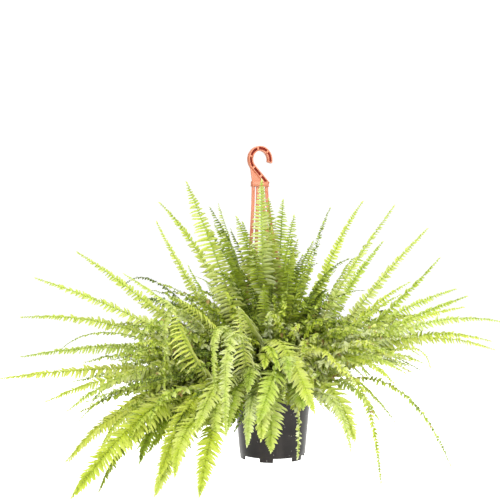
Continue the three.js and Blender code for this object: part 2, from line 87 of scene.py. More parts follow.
def squared(vector: Vector, along: Vector) -> Vector:
    """Returns the unit vector square to a direction that is nearest to a vector."""
    return (vector - along * vector.dot(along)).normalized()


def clamp(value: float) -> float:
    """Returns a value kept between 0 and 1."""
    return min(1.0, max(0.0, value))


def smoothstep(share: float) -> float:
    """Returns a soft step from 0 to 1 as share goes from 0 to 1."""
    share = clamp(share)
    return share * share * (3 - 2 * share)


def basis(x: Vector, y: Vector, z: Vector, place: Vector) -> Matrix:
    """Puts three axes, each as long as the scale along it, and a place into one matrix.

    Args:
        x: First axis.
        y: Second axis.
        z: Third axis.
        place: Where the matrix's origin goes.

    Returns:
        The 4 by 4 matrix.
    """
    turn = Matrix((x, y, z)).transposed().to_4x4()
    turn.translation = place
    return turn


def top_of(node: str) -> tuple[Vector, float, float]:
    """Measures a round node of the part.

    Args:
        node: The node.

    Returns:
        The middle of its top, its radius and its height.
    """
    low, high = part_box(node)
    middle = Vector(((low.x + high.x) / 2, (low.y + high.y) / 2, high.z))
    return middle, (high.x - low.x) / 2, high.z - low.z


def picked(geometry: list, kind: type) -> list:
    """Returns the elements of one kind in what a bmesh operator gave back."""
    return [part for part in geometry if isinstance(part, kind)]


def push_out(bm: Mesh, faces: Faces, keep: bool) -> tuple[Verts, Faces]:
    """Extrudes a group of faces, which stay where they are until they are moved.

    Args:
        bm: Their mesh.
        faces: The faces.
        keep: Whether the faces they leave behind stay, as the other end of a closed body.

    Returns:
        The new vertices and the new faces.
    """
    grown = bmesh.ops.extrude_face_region(bm, geom=faces)["geom"]
    if not keep:
        bmesh.ops.delete(bm, geom=faces, context="FACES_ONLY")
    return picked(grown, bmesh.types.BMVert), picked(grown, bmesh.types.BMFace)


def sweep(bm: Mesh, stations: list[Matrix], sides: int, spin: float = 0.0) -> None:
    """Pushes a section through a row of stations, with flat ends.

    Args:
        bm: Empty mesh for the swept body. Its faces get their step in the layer "step".
        stations: The section's place, turn and size at each station.
        sides: Corners of the section.
        spin: Turn of the section in its own plane, in radians.
    """
    step_of = bm.faces.layers.int.new("step")
    place = stations[0] @ Matrix.Rotation(spin, 4, "Z")
    ring = bmesh.ops.create_circle(bm, cap_ends=True, segments=sides, radius=1, matrix=place)
    cap = ring["verts"][0].link_faces[0]
    for step, (before, after) in enumerate(zip(stations, stations[1:])):
        verts, ends = push_out(bm, [cap], keep=step == 0)
        bmesh.ops.transform(bm, matrix=after @ before.inverted(), verts=verts)
        cap = ends[0]
        for vert in verts:
            for face in vert.link_faces:
                face[step_of] = step + 1
        cap[step_of] = 0
    bmesh.ops.recalc_face_normals(bm, faces=bm.faces)


def lathe(bm: Mesh, outline: list[tuple[float, float]], steps: int, start: Vector) -> None:
    """Spins a section round the Z axis into a closed body.

    Args:
        bm: Empty mesh for the body.
        outline: The section's corners as radii and heights, from the axis or back to it.
        steps: Steps of the full turn.
        start: Level direction in which the section stands.
    """
    verts = [bm.verts.new(start * radius + UP * height) for radius, height in outline]
    edges = [bm.edges.new(pair) for pair in zip(verts, verts[1:])]
    bmesh.ops.spin(
        bm, geom=[*verts, *edges], cent=(0, 0, 0), axis=UP, angle=math.tau, steps=steps, use_merge=True
    )
    bmesh.ops.remove_doubles(bm, verts=bm.verts, dist=1e-6)
    bmesh.ops.recalc_face_normals(bm, faces=bm.faces)


def bevel_sharp(bm: Mesh, angle: float, size: float) -> None:
    """Rounds every edge whose faces meet at more than an angle.

    Args:
        bm: Mesh to round.
        angle: Least angle between the two faces, in degrees.
        size: Width of the rounding.
    """
    limit = math.radians(angle)
    edges = [e for e in bm.edges if len(e.link_faces) == 2 and e.calc_face_angle(0) > limit]
    bmesh.ops.bevel(
        bm, geom=edges, offset=size, offset_type="OFFSET", segments=2, profile=0.5,
        affect="EDGES", material=-1, clamp_overlap=True,
    )


def closed(name: str, bm: Mesh) -> bpy.types.Mesh:
    """Turns a bmesh into a mesh.

    Args:
        name: Name of the mesh.
        bm: The bmesh, which is freed.

    Returns:
        The mesh.
    """
    mesh = bpy.data.meshes.new(name)
    bm.to_mesh(mesh)
    bm.free()
    return mesh


def facing(bm: Mesh, way: Vector) -> Faces:
    """Returns the faces that look one way."""
    return [face for face in bm.faces if face.normal.dot(way) > SAME_WAY]


def inset(bm: Mesh, faces: Faces, rail: float, depth: float = 0.0) -> None:
    """Draws a group of faces in from its outline and sinks it.

    Args:
        bm: Their mesh.
        faces: The faces.
        rail: How far they are drawn in.
        depth: How far they are sunk.
    """
    bmesh.ops.inset_region(
        bm, faces=faces, thickness=rail, depth=-depth, use_even_offset=True, use_boundary=True
    )


def merge_into(bm: Mesh, part: Mesh) -> None:
    """Adds one bmesh to another and frees it.

    Args:
        bm: Mesh that grows.
        part: Mesh that is added.
    """
    mesh = closed("part", part)
    bm.from_mesh(mesh)
    bpy.data.meshes.remove(mesh)


def add_plate(bm: Mesh, corners: list[Vector], through: Vector, edge: float) -> None:
    """Adds a plate with a drawn outline and rounded edges.

    Args:
        bm: Mesh that it is added to.
        corners: The corners of one side.
        through: From there to the other side.
        edge: Width of the rounding.
    """
    plate = bmesh.new()
    face = plate.faces.new([plate.verts.new(corner) for corner in corners])
    verts, _ = push_out(plate, [face], keep=True)
    bmesh.ops.translate(plate, vec=through, verts=verts)
    bmesh.ops.recalc_face_normals(plate, faces=plate.faces)
    bevel_sharp(plate, 30, edge)
    merge_into(bm, plate)


def add_object(name: str, data: bpy.types.ID) -> bpy.types.Object:
    """Puts a mesh, light or camera into the scene.

    Args:
        name: Name of its object.
        data: The mesh, light or camera.

    Returns:
        The object.
    """
    made = bpy.data.objects.new(name, data)
    bpy.context.scene.collection.objects.link(made)
    return made


def make_piece(
    name: str, bm: Mesh, materials: list[Material], node: str = "", flat: bool = False
) -> None:
    """Turns a bmesh into a finished piece that rides on the part's one body.

    Args:
        name: Name of the piece.
        bm: Its mesh, which is freed.
        materials: Its materials, in the order of the faces' numbers.
        node: CAD node that it stands for, if any.
        flat: Whether its faces stay flat shaded.
    """
    for face in bm.faces:
        face.smooth = not flat
    mesh = closed(name, bm)
    for material in materials:
        mesh.materials.append(material)
    piece = add_object(name, mesh)
    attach(piece, "root")
    if node:
        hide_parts(node)
    LOG.info("%s: %d faces", name, len(mesh.polygons))


# ---- Shader graphs -------------------------------------------------------------------------


class Graph:
    """Adds nodes to one shader tree and joins them as it goes."""

    def __init__(self, tree: Tree) -> None:
        """Keeps the tree that the nodes go into."""
        self.tree = tree

    def feed(self, target: Socket, value: object) -> None:
        """Links a socket to an input, or sets the input to a plain value.

        Args:
            target: The input.
            value: Socket or value.
        """
        if isinstance(value, Socket):
            self.tree.links.new(value, target)
        else:
            target.default_value = value

    def node(self, kind: str, inputs: dict | None = None, **settings: object) -> bpy.types.Node:
        """Adds a node.

        Args:
            kind: Blender's name of the node type, without the word ShaderNode.
            inputs: Values or sockets for its inputs, by name or number.
            **settings: Properties to set on the node first.

        Returns:
            The node.
        """
        made = self.tree.nodes.new(kind if kind.startswith("NodeGroup") else f"ShaderNode{kind}")
        for name, value in settings.items():
            setattr(made, name, value)
        for name, value in (inputs or {}).items():
            self.feed(made.inputs[name], value)
        return made

    def maths(self, operation: str, *values: Socket | float) -> Socket:
        """Returns the result of a Math node on numbers or sockets."""
        return self.node("Math", dict(enumerate(values)), operation=operation).outputs[0]

    def scaled(self, value: Socket, by: float, plus: Socket | float) -> Socket:
        """Returns a value times a number, plus another value."""
        return self.maths("MULTIPLY_ADD", value, by, plus)

    def ease(self, value: Socket, low: float, high: float) -> Socket:
        """Returns how far a value has gone from one level to the other, from 0 to 1."""
        inputs = {"Value": value, "From Min": low, "From Max": high}
        return self.node("MapRange", inputs).outputs["Result"]

    def noise(self, vector: Socket, scale: Socket | float, detail: float) -> Socket:
        """Returns the level of a noise texture, from 0 to 1."""
        return self.node("TexNoise", {"Vector": vector, "Scale": scale, "Detail": detail}).outputs["Fac"]

    def ramp(self, value: Socket, stops: list[tuple[float, Colour]]) -> Socket:
        """Runs a value through a colour ramp.

        Args:
            value: Socket with the value.
            stops: Pairs of place and colour.

        Returns:
            The ramp's colour socket.
        """
        made = self.node("ValToRGB", {"Fac": value})
        elements = made.color_ramp.elements
        while len(elements) < len(stops):
            elements.new(0.5)
        for element, (place, colour) in zip(elements, stops):
            element.position = place
            element.color = (*colour, 1)
        return made.outputs["Color"]

    def blend(self, factor: Socket | float, first: Socket | Colour, second: Socket | Colour) -> Socket:
        """Returns a blend of two colours, the first where the factor is 0."""
        first, second = (c if isinstance(c, Socket) else (*c, 1) for c in (first, second))
        return self.node("Mix", {0: factor, 6: first, 7: second}, data_type="RGBA").outputs[2]

    def place(self) -> Socket:
        """Returns the place on the piece, in metres."""
        return self.node("TexCoord").outputs["Object"]

    def uv_map(self, name: str) -> tuple[Socket, Socket, Socket]:
        """Returns a UV map's vector and its two numbers."""
        vector = self.node("UVMap", uv_map=name).outputs["UV"]
        return vector, *self.node("SeparateXYZ", {"Vector": vector}).outputs[:2]

    def group(self, tree: Tree, **values: float) -> Sockets:
        """Returns the outputs of a shared group that is placed here with its own values."""
        return self.node("Group", {"Vector": self.place(), **values}, node_tree=tree).outputs

    def bump(self, height: Socket, strength: float, distance: float) -> Socket:
        """Returns the normal of a bumpy surface, from its height, strength and depth."""
        inputs = {"Height": height, "Strength": strength, "Distance": distance}
        return self.node("Bump", inputs).outputs["Normal"]

    def principled(self, colour: Socket, roughness: Socket | float, more: dict) -> Socket:
        """Returns a Principled BSDF with a colour, a roughness and more inputs by name."""
        inputs = {"Base Color": colour, "Roughness": roughness, **more}
        return self.node("BsdfPrincipled", inputs).outputs[0]

    def let_through(self, shader: Socket, colour: Socket | tuple, share: float) -> Socket:
        """Returns a shader with a share of coloured light that comes through from behind."""
        through = self.node("BsdfTranslucent", {"Color": colour}).outputs[0]
        return self.node("MixShader", {0: share, 1: shader, 2: through}).outputs[0]

    def finish(self, shader: Socket, kind: str = "OutputMaterial") -> None:
        """Ends the tree in a shader."""
        self.node(kind, {"Surface": shader})


def new_group(
    name: str, inputs: dict[str, float], outputs: tuple[str, ...]
) -> tuple[Graph, Sockets, Sockets]:
    """Starts a shader node group that reads a place.

    Args:
        name: Name of the group.
        inputs: Its number inputs and their defaults. The input Vector is added.
        outputs: Names of its number outputs.

    Returns:
        The group's Graph, its sockets for reading and its sockets for what it puts out.
    """
    tree = bpy.data.node_groups.new(name, "ShaderNodeTree")
    tree.interface.new_socket("Vector", in_out="INPUT", socket_type="NodeSocketVector")
    for label, value in inputs.items():
        socket = tree.interface.new_socket(label, in_out="INPUT", socket_type="NodeSocketFloat")
        socket.default_value = value
    for label in outputs:
        tree.interface.new_socket(label, in_out="OUTPUT", socket_type="NodeSocketFloat")
    graph = Graph(tree)
    return graph, graph.node("NodeGroupInput").outputs, graph.node("NodeGroupOutput").inputs


def grain_group() -> Tree:
    """Builds the fine grain and broad mottle that plastics, soil and stalks share.

    Returns:
        A group with the inputs Vector, Fine and Broad, both in cells per metre, and the outputs
        Grain and Mottle, from 0 to 1.
    """
    graph, start, end = new_group("grain", {"Fine": 900.0, "Broad": 20.0}, ("Grain", "Mottle"))
    for label, scale, detail in (("Grain", "Fine", 3.0), ("Mottle", "Broad", 5.0)):
        graph.feed(end[label], graph.noise(start["Vector"], start[scale], detail))
    return graph.tree


def scuff_group() -> Tree:
    """Builds the dust specks and rubbed streaks that the pot and the hanger share.

    Returns:
        A group with the inputs Vector, Specks and Streaks, both in cells per metre, and the
        outputs Specks and Streaks, masks from 0 to 1.
    """
    inputs = {"Specks": 240.0, "Streaks": 40.0}
    graph, start, end = new_group("scuffs", inputs, ("Specks", "Streaks"))
    cells = graph.node("TexVoronoi", {"Vector": start["Vector"], "Scale": start["Specks"]}).outputs
    chance = graph.node("SeparateColor", {"Color": cells["Color"]}).outputs["Red"]
    one_in_seven = graph.maths("GREATER_THAN", chance, 0.86)
    near = graph.ease(cells["Distance"], 0.22, 0.06)
    graph.feed(end["Specks"], graph.maths("MULTIPLY", one_in_seven, near))
    upright = {"Vector": start["Vector"], "Scale": (1.0, 1.0, 0.12)}
    lines = graph.noise(graph.node("Mapping", upright).outputs["Vector"], start["Streaks"], 6.0)
    graph.feed(end["Streaks"], graph.ease(lines, 0.52, 0.74))
    return graph.tree


class Groups:
    """The shared node groups, each built once."""

    def __init__(self) -> None:
        """Builds them."""
        self.grain = grain_group()
        self.scuffs = scuff_group()


def new_material(name: str) -> tuple[Material, Graph]:
    """Starts a material with an empty tree.

    Args:
        name: Name of the material.

    Returns:
        The material and the Graph of its tree.
    """
    material = bpy.data.materials.new(name)
    material.use_nodes = True
    material.node_tree.nodes.clear()
    return material, Graph(material.node_tree)


@dataclass(frozen=True)
class LeafFinish:
    """Soft green blade that lets light through, from deep to pale with its tone."""

    name: str = "fern_leaf"
    warm: tuple[Colour, ...] = (
        (0.050, 0.090, 0.002), (0.475, 0.572, 0.018), (0.612, 0.658, 0.115), (0.650, 0.678, 0.365),
    )
    cool: tuple[Colour, ...] = (
        (0.026, 0.068, 0.005), (0.305, 0.455, 0.044), (0.490, 0.588, 0.200), (0.605, 0.660, 0.420),
    )
    stops: tuple[float, ...] = (0.0, 0.34, 0.68, 1.0)
    midrib: Colour = (0.620, 0.640, 0.260)
    dry: Colour = (0.420, 0.270, 0.090)
    sunlit: Colour = (0.610, 0.730, 0.130)  # tint of the light that comes through
    glow: float = 0.30  # share of the light that passes through the blade
    mottle: float = 0.24  # spread of the tone over one pinna
    margin_highlight: float = 0.14  # painted highlight: how much paler the margins are, in steps of the tone
    margin: tuple[float, float] = (0.30, 0.47)  # where they start and end, from the midrib
    pale_tip: float = 0.32  # how much paler a pinna gets from foot to tip, as younger tissue
    # painted shade: how much deeper the foot is, where it crowds the rib
    foot_painted_shade: float = -0.10
    rib_edge: tuple[float, float] = (0.085, 0.02)  # where the midrib starts and is full
    dry_hue: tuple[float, float] = (1.1, 1.3)  # the hues past which a pinna is dry
    vein_count: float = 26.0
    vein_slant: float = -9.0
    vein_spacing: float = 1.6
    vein_tint: float = 0.04
    roughness: float = 0.42
    gloss: float = 0.24  # specular level

    def build(self) -> Material:
        """Builds the material, which reads the UV maps Pinna and Tone.

        Returns:
            The material.
        """
        material, graph = new_material(self.name)
        pinna, along, place = graph.uv_map("Pinna")
        _, tone, hue = graph.uv_map("Tone")
        across = graph.maths("ABSOLUTE", graph.maths("SUBTRACT", place, 0.5))
        spread = graph.scaled(graph.noise(pinna, 3.0, 3.0), self.mottle, -self.mottle / 2)
        level = graph.maths("ADD", tone, spread)
        # painted highlight along the raised margins of the pinna
        outer = graph.scaled(graph.ease(across, *self.margin), self.margin_highlight, level)
        # paler tips as younger tissue, and painted shade at the foot
        level = graph.maths("ADD", outer, graph.scaled(along, self.pale_tip, self.foot_painted_shade))
        warm, cool = (graph.ramp(level, list(zip(self.stops, row))) for row in (self.warm, self.cool))
        colour = graph.blend(hue, warm, cool)
        colour = graph.blend(graph.ease(hue, *self.dry_hue), colour, self.dry)
        rib = graph.ease(across, *self.rib_edge)
        colour = graph.blend(graph.maths("MULTIPLY", rib, 0.5), colour, self.midrib)
        slant = graph.scaled(across, self.vein_slant, graph.maths("MULTIPLY", along, self.vein_count))
        veins = graph.maths("SINE", graph.maths("MULTIPLY", slant, math.tau / self.vein_spacing))
        colour = graph.blend(graph.scaled(veins, self.vein_tint, self.vein_tint), colour, self.midrib)
        height = graph.maths("ADD", graph.maths("MULTIPLY", veins, 0.25), rib)
        more = {"Normal": graph.bump(height, 0.35, 0.0004), "Specular IOR Level": self.gloss}
        shader = graph.principled(colour, self.roughness, more)
        graph.finish(graph.let_through(shader, graph.blend(0.35, colour, self.sunlit), self.glow))
        return material


@dataclass(frozen=True)
class StalkFinish:
    """Smooth stalk, brown at the foot and yellow green towards the tip of the frond."""

    name: str = "fern_stalk"
    green: Colour = (0.300, 0.400, 0.060)
    tan: Colour = (0.360, 0.215, 0.075)
    brown: Colour = (0.100, 0.045, 0.018)

    def build(self, groups: Groups) -> Material:
        """Builds the material, which reads the share along the frond from the UV map Tone.

        Args:
            groups: The shared node groups.

        Returns:
            The material.
        """
        material, graph = new_material(self.name)
        grain = graph.group(groups.grain, Broad=60.0)
        share = graph.maths("ADD", graph.uv_map("Tone")[2], graph.scaled(grain["Mottle"], 0.5, -0.25))
        colour = graph.ramp(share, [(0.02, self.brown), (0.30, self.tan), (0.62, self.green)])
        normal = graph.bump(grain["Grain"], 0.3, 0.0002)
        graph.finish(graph.principled(colour, 0.5, {"Normal": normal}))
        return material


@dataclass(frozen=True)
class PlasticFinish:
    """Moulded plastic with a fine grain, mottle, dust specks and rubbed streaks."""

    name: str
    base: Colour
    shade: Colour
    rubbed: Colour
    dust: Colour
    roughness: float = 0.42
    grain: float = 1400.0
    glow: Colour | None = None  # colour of the light that soaks into a thin moulding
    glow_share: float = 0.3
    mottle: tuple[float, float] = (0.35, 0.65)  # levels of the mottle that are base and shade
    streaks: float = 40.0
    streak_strength: float = 0.35
    streak_roughness: float = 0.2
    speck_strength: float = 0.7
    gloss: float = 0.5  # specular level

    def build(self, groups: Groups) -> Material:
        """Builds the material, which reads Object coordinates.

        Args:
            groups: The shared node groups.

        Returns:
            The material.
        """
        material, graph = new_material(self.name)
        grain = graph.group(groups.grain, Fine=self.grain)
        scuffs = graph.group(groups.scuffs, Streaks=self.streaks)
        colour = graph.blend(graph.ease(grain["Mottle"], *self.mottle), self.base, self.shade)
        streak = graph.maths("MULTIPLY", scuffs["Streaks"], self.streak_strength)
        colour = graph.blend(streak, colour, self.rubbed)
        speck = graph.maths("MULTIPLY", scuffs["Specks"], self.speck_strength)
        colour = graph.blend(speck, colour, self.dust)
        rough = graph.scaled(scuffs["Streaks"], self.streak_roughness, self.roughness)
        more = {"Normal": graph.bump(grain["Grain"], 0.25, 0.0001), "Specular IOR Level": self.gloss}
        shader = graph.principled(colour, rough, more)
        if self.glow:
            shader = graph.let_through(shader, (*self.glow, 1), self.glow_share)
        graph.finish(shader)
        return material


@dataclass(frozen=True)
class SoilFinish:
    """Damp peat: dark and light crumbs, rough all over."""

    name: str = "peat"
    dark: Colour = (0.012, 0.008, 0.005)
    light: Colour = (0.075, 0.045, 0.025)

    def build(self, groups: Groups) -> Material:
        """Builds the material, which reads Object coordinates.

        Args:
            groups: The shared node groups.

        Returns:
            The material.
        """
        material, graph = new_material(self.name)
        grain = graph.group(groups.grain, Broad=300.0)
        colour = graph.ramp(grain["Mottle"], [(0.3, self.dark), (0.75, self.light)])
        normal = graph.bump(grain["Grain"], 0.8, 0.0008)
        graph.finish(graph.principled(colour, 0.92, {"Normal": normal}))
        return material


@dataclass(frozen=True)
class PaperFinish:
    """Plain pale paper for the studio floor."""

    name: str = "studio_paper"
    colour: Colour = (0.93, 0.93, 0.94)
    fibre: Colour = (0.8, 0.8, 0.82)
    lift: float = 0.72  # how far the paper glows, so that it stays white into the distance

    def build(self) -> Material:
        """Builds the material, with a faint fibre in its tone.

        Returns:
            The material.
        """
        material, graph = new_material(self.name)
        faint = graph.maths("MULTIPLY", graph.noise(graph.place(), 6.0, 4.0), 0.04)
        colour = graph.blend(faint, self.colour, self.fibre)
        more = {"Emission Color": (1, 1, 1, 1), "Emission Strength": self.lift}
        graph.finish(graph.principled(colour, 0.9, more))
        return material


# ---- Fronds --------------------------------------------------------------------------------


class Wave(Enum):
    """How a pinna departs from flat: droop of its tip, ripple of its margin and twist."""

    ARCHED = (0.20, 0.02, 0.10)
    RIPPLED = (0.15, 0.08, -0.12)
    CURLED = (0.42, 0.03, 0.22)
    FLAT = (0.06, 0.035, -0.05)


@dataclass(frozen=True)
class Habit:
    """The way that one kind of frond carries its pinnae."""

    pitch: float  # from one pinna to the next on the same side
    breadth: float  # width of a pinna as a share of the pitch
    spread: float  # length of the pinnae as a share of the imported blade's half width
    taper: float  # the higher it is, the longer the blade stays broad
    lean: float  # degrees from square to the rib, towards the tip
    droop: float  # degrees below the frond's plane
    upturn: float  # how far the pinnae turn their faces to the sky, from 0 to 1
    disorder: float  # greatest random turn in degrees
    waves: tuple[Wave, ...]


class Kind(Enum):
    """The kinds of frond on the plant."""

    COMB = Habit(8.2 * MM, 0.84, 0.95, 3.4, 10, 12, 0.50, 9, (Wave.ARCHED, Wave.ARCHED, Wave.CURLED))
    OPEN = Habit(10.4 * MM, 0.38, 0.98, 4.0, 4, 20, 0.60, 8, (Wave.CURLED, Wave.ARCHED, Wave.CURLED))
    BROAD = Habit(7.2 * MM, 1.14, 0.84, 4.2, 8, 6, 0.05, 10, (Wave.ARCHED, Wave.RIPPLED, Wave.FLAT))
    RIBBON = Habit(5.6 * MM, 1.10, 0.80, 3.8, 6, 8, 0.05, 27, (Wave.RIPPLED, Wave.CURLED, Wave.RIPPLED))
    FEATHER = Habit(8.2 * MM, 0.90, 0.76, 1.7, 14, 10, 0.25, 17, (Wave.ARCHED, Wave.RIPPLED, Wave.FLAT))
    CRISPED = Habit(6.2 * MM, 1.25, 0.52, 2.2, 8, 8, 0.15, 62, (Wave.RIPPLED, Wave.CURLED, Wave.CURLED))
    THREAD = Habit(7.6 * MM, 0.80, 0.42, 2.6, 10, 8, 0.25, 26, (Wave.FLAT, Wave.RIPPLED, Wave.CURLED))


@dataclass(frozen=True)
class Pinna:
    """One leaflet of unit length and unit width, closed, with its foot at the origin.

    Its length runs along +X, its blade lies in the XY plane and its upper face looks along +Z.
    """

    wave: Wave
    hand: int  # 1 or -1, the side of the rib that it stands on; 1 is the mirrored shape
    steps: int = 6
    columns: int = 2
    thickness: float = 0.03
    fold: float = 0.20  # height of the margins over the midrib, as a share of the length
    bend: float = 0.30  # how far the tip bends towards the tip of the frond
    teeth: float = 0.0  # depth of the margin's teeth, as a share of the width
    tooth_count: int = 7
    bluntness: float = 3.0  # 1.5 for a pointed tip, 4 for a round one
    flare: float = 0.24  # how much broader the foot is
    ear: float = 0.13  # how far the ear of the upper foot stands out
    crowding: float = 0.88  # below 1 for stations that crowd at the tip
    least_half: float = 0.02

    def half_width(self, along: float, upper: bool) -> float:
        """Works out how far the margin stands from the midrib.

        Args:
            along: Share of the pinna's length.
            upper: Whether it is the side towards the frond's tip, which has the ear.

        Returns:
            The half width.
        """
        foot = 1 + self.flare * math.exp(-((along / 0.14) ** 2))
        body = 0.5 * (1 - along**self.bluntness) ** 0.66 * foot
        ear = self.ear * math.exp(-(((along - 0.1) / 0.09) ** 2)) if upper else 0.0
        notch = 1 + self.teeth * math.cos(math.tau * self.tooth_count * along)
        return max(self.least_half, (body + ear) * notch)

    def build(self) -> bpy.types.Mesh:
        """Builds the pinna.

        Returns:
            Its mesh, with the UV maps Pinna and Tone.
        """
        droop, ripple, twist = self.wave.value
        bm = bmesh.new()
        bmesh.ops.create_grid(bm, x_segments=self.steps, y_segments=self.columns, size=0.5)
        pinna = bm.loops.layers.uv.new("Pinna")
        bm.loops.layers.uv.new("Tone")
        for face in bm.faces:
            for loop in face.loops:
                loop[pinna].uv = (loop.vert.co.x + 0.5, loop.vert.co.y + 0.5)
        for vert in bm.verts:
            along, side = (vert.co.x + 0.5) ** self.crowding, 2 * vert.co.y
            width = self.half_width(along, side > 0)
            turn = twist * along * side * width * 0.5
            wavy = ripple * abs(side) * math.sin(math.tau * (2.6 * along + 0.2 * side))
            vert.co.x = along + 0.03 * abs(side) * (1 - along) - 0.05 * (1 - along)
            vert.co.y = side * width + self.bend * along * along - 0.04
            vert.co.z = self.fold * abs(side) * width - droop * along * along + turn + wavy * 0.5
        middle = [v for v in bm.verts if not v.is_boundary]
        back = bmesh.ops.duplicate(bm, geom=list(bm.faces))["geom"]
        bmesh.ops.reverse_faces(bm, faces=picked(back, bmesh.types.BMFace))
        under = [v for v in picked(back, bmesh.types.BMVert) if not v.is_boundary]
        for verts, way in ((middle, UP), (under, -UP)):
            bmesh.ops.translate(bm, vec=way * self.thickness / 2, verts=verts)
        bmesh.ops.remove_doubles(bm, verts=bm.verts, dist=1e-5)
        for edge in bm.edges:
            edge.smooth = edge.calc_face_angle(0) < math.radians(100)
        if self.hand > 0:
            bmesh.ops.scale(bm, vec=(1, -1, 1), verts=bm.verts)
            bmesh.ops.reverse_faces(bm, faces=bm.faces)
        return closed(f"pinna_{self.wave.name.lower()}_{self.hand}", bm)


class Foliage:
    """The pinna templates and the finishes that all fronds share."""

    def __init__(self, leaf: Material, stalk: Material) -> None:
        """Builds small, coarse and fine templates for every wave and hand.

        Args:
            leaf: Material of the pinnae.
            stalk: Material of the ribs.
        """
        self.materials = [leaf, stalk]
        keys = [(wave, hand) for wave in Wave for hand in (1, -1)]
        self.small = {key: Pinna(*key, steps=4).build() for key in keys}
        self.coarse = {key: Pinna(*key).build() for key in keys}
        sharp = {"steps": 10, "columns": 4, "teeth": 0.11, "bluntness": 2.2}
        self.fine = {key: Pinna(*key, **sharp).build() for key in keys}

    def add(
        self, bm: Mesh, template: bpy.types.Mesh, place: Matrix, tone: tuple[float, float]
    ) -> None:
        """Adds one pinna to a frond.

        Args:
            bm: The frond's mesh.
            template: Which pinna.
            place: Its place, turn and size.
            tone: Its tone, from deep to pale, and its hue, from yellow to blue green, 0 to 1.
        """
        copy = template.copy()
        copy.transform(place)
        values = np.tile(np.array(tone, np.float32), len(copy.loops))
        copy.uv_layers["Tone"].uv.foreach_set("vector", values)
        bm.from_mesh(copy)
        bpy.data.meshes.remove(copy)


@dataclass(frozen=True)
class Rib:
    """The curve of a frond: it leaves its root towards the knee and ends in the line to the tip."""

    root: Vector
    knee: Vector
    tip: Vector

    def point(self, share: float) -> Vector:
        """Returns the point at a share of the curve's parameter."""
        rest = 1 - share
        return self.root * rest**2 + self.knee * (2 * rest * share) + self.tip * share**2

    def along(self, share: float) -> Vector:
        """Returns the unit direction at a share of the curve's parameter."""
        slope = (self.knee - self.root) * (1 - share) + (self.tip - self.knee) * share
        return slope.normalized()

    def samples(self, count: int) -> np.ndarray:
        """Returns points at even steps of the parameter, one row each."""
        share = np.linspace(0, 1, count)[:, None]
        root, knee, tip = (np.array(p) for p in (self.root, self.knee, self.tip))
        return root * (1 - share) ** 2 + knee * 2 * share * (1 - share) + tip * share**2


@dataclass(frozen=True)
class Growth:
    """How every frond of the plant is built."""

    bare: float = 0.15  # share of the length with no pinnae
    stalk_radius: float = 1.5 * MM
    stalk_sides: int = 6
    stalk_steps: int = 22
    ease: float = 0.35  # share of the length over which a frond rolls to its final turn
    samples: int = 97  # points along the rib that measure its length
    closing: float = 0.46  # how much closer the pinnae stand at the tip
    least_pitch: float = 0.55  # share of the pitch that short fronds keep
    stagger: float = 0.125  # how far the pinnae of one side stand ahead, and the others behind
    stagger_stray: float = 0.12  # both as shares of the pitch
    reach_stray: tuple[float, float] = (0.88, 1.08)
    width_stray: tuple[float, float] = (0.85, 1.15)
    widest: float = 0.8  # greatest width of a pinna, as a share of its length
    leaning: float = 22.0  # degrees that the pinnae lean further at the tip
    least_reach: float = 2.8 * MM
    even_stray: float = 0.12  # random part of tone and hue
    crisp_stray: float = 0.27  # the same on crisp fronds
    pale_foot: float = 0.16  # how much paler the first pinnae are than the frond's tone
    fading: float = 0.27  # how much deeper the last ones are than the first
    dry_share: float = 0.018  # share of the crisp leaflets that are dry
    dry_hue: float = 1.5


GROWTH = Growth()


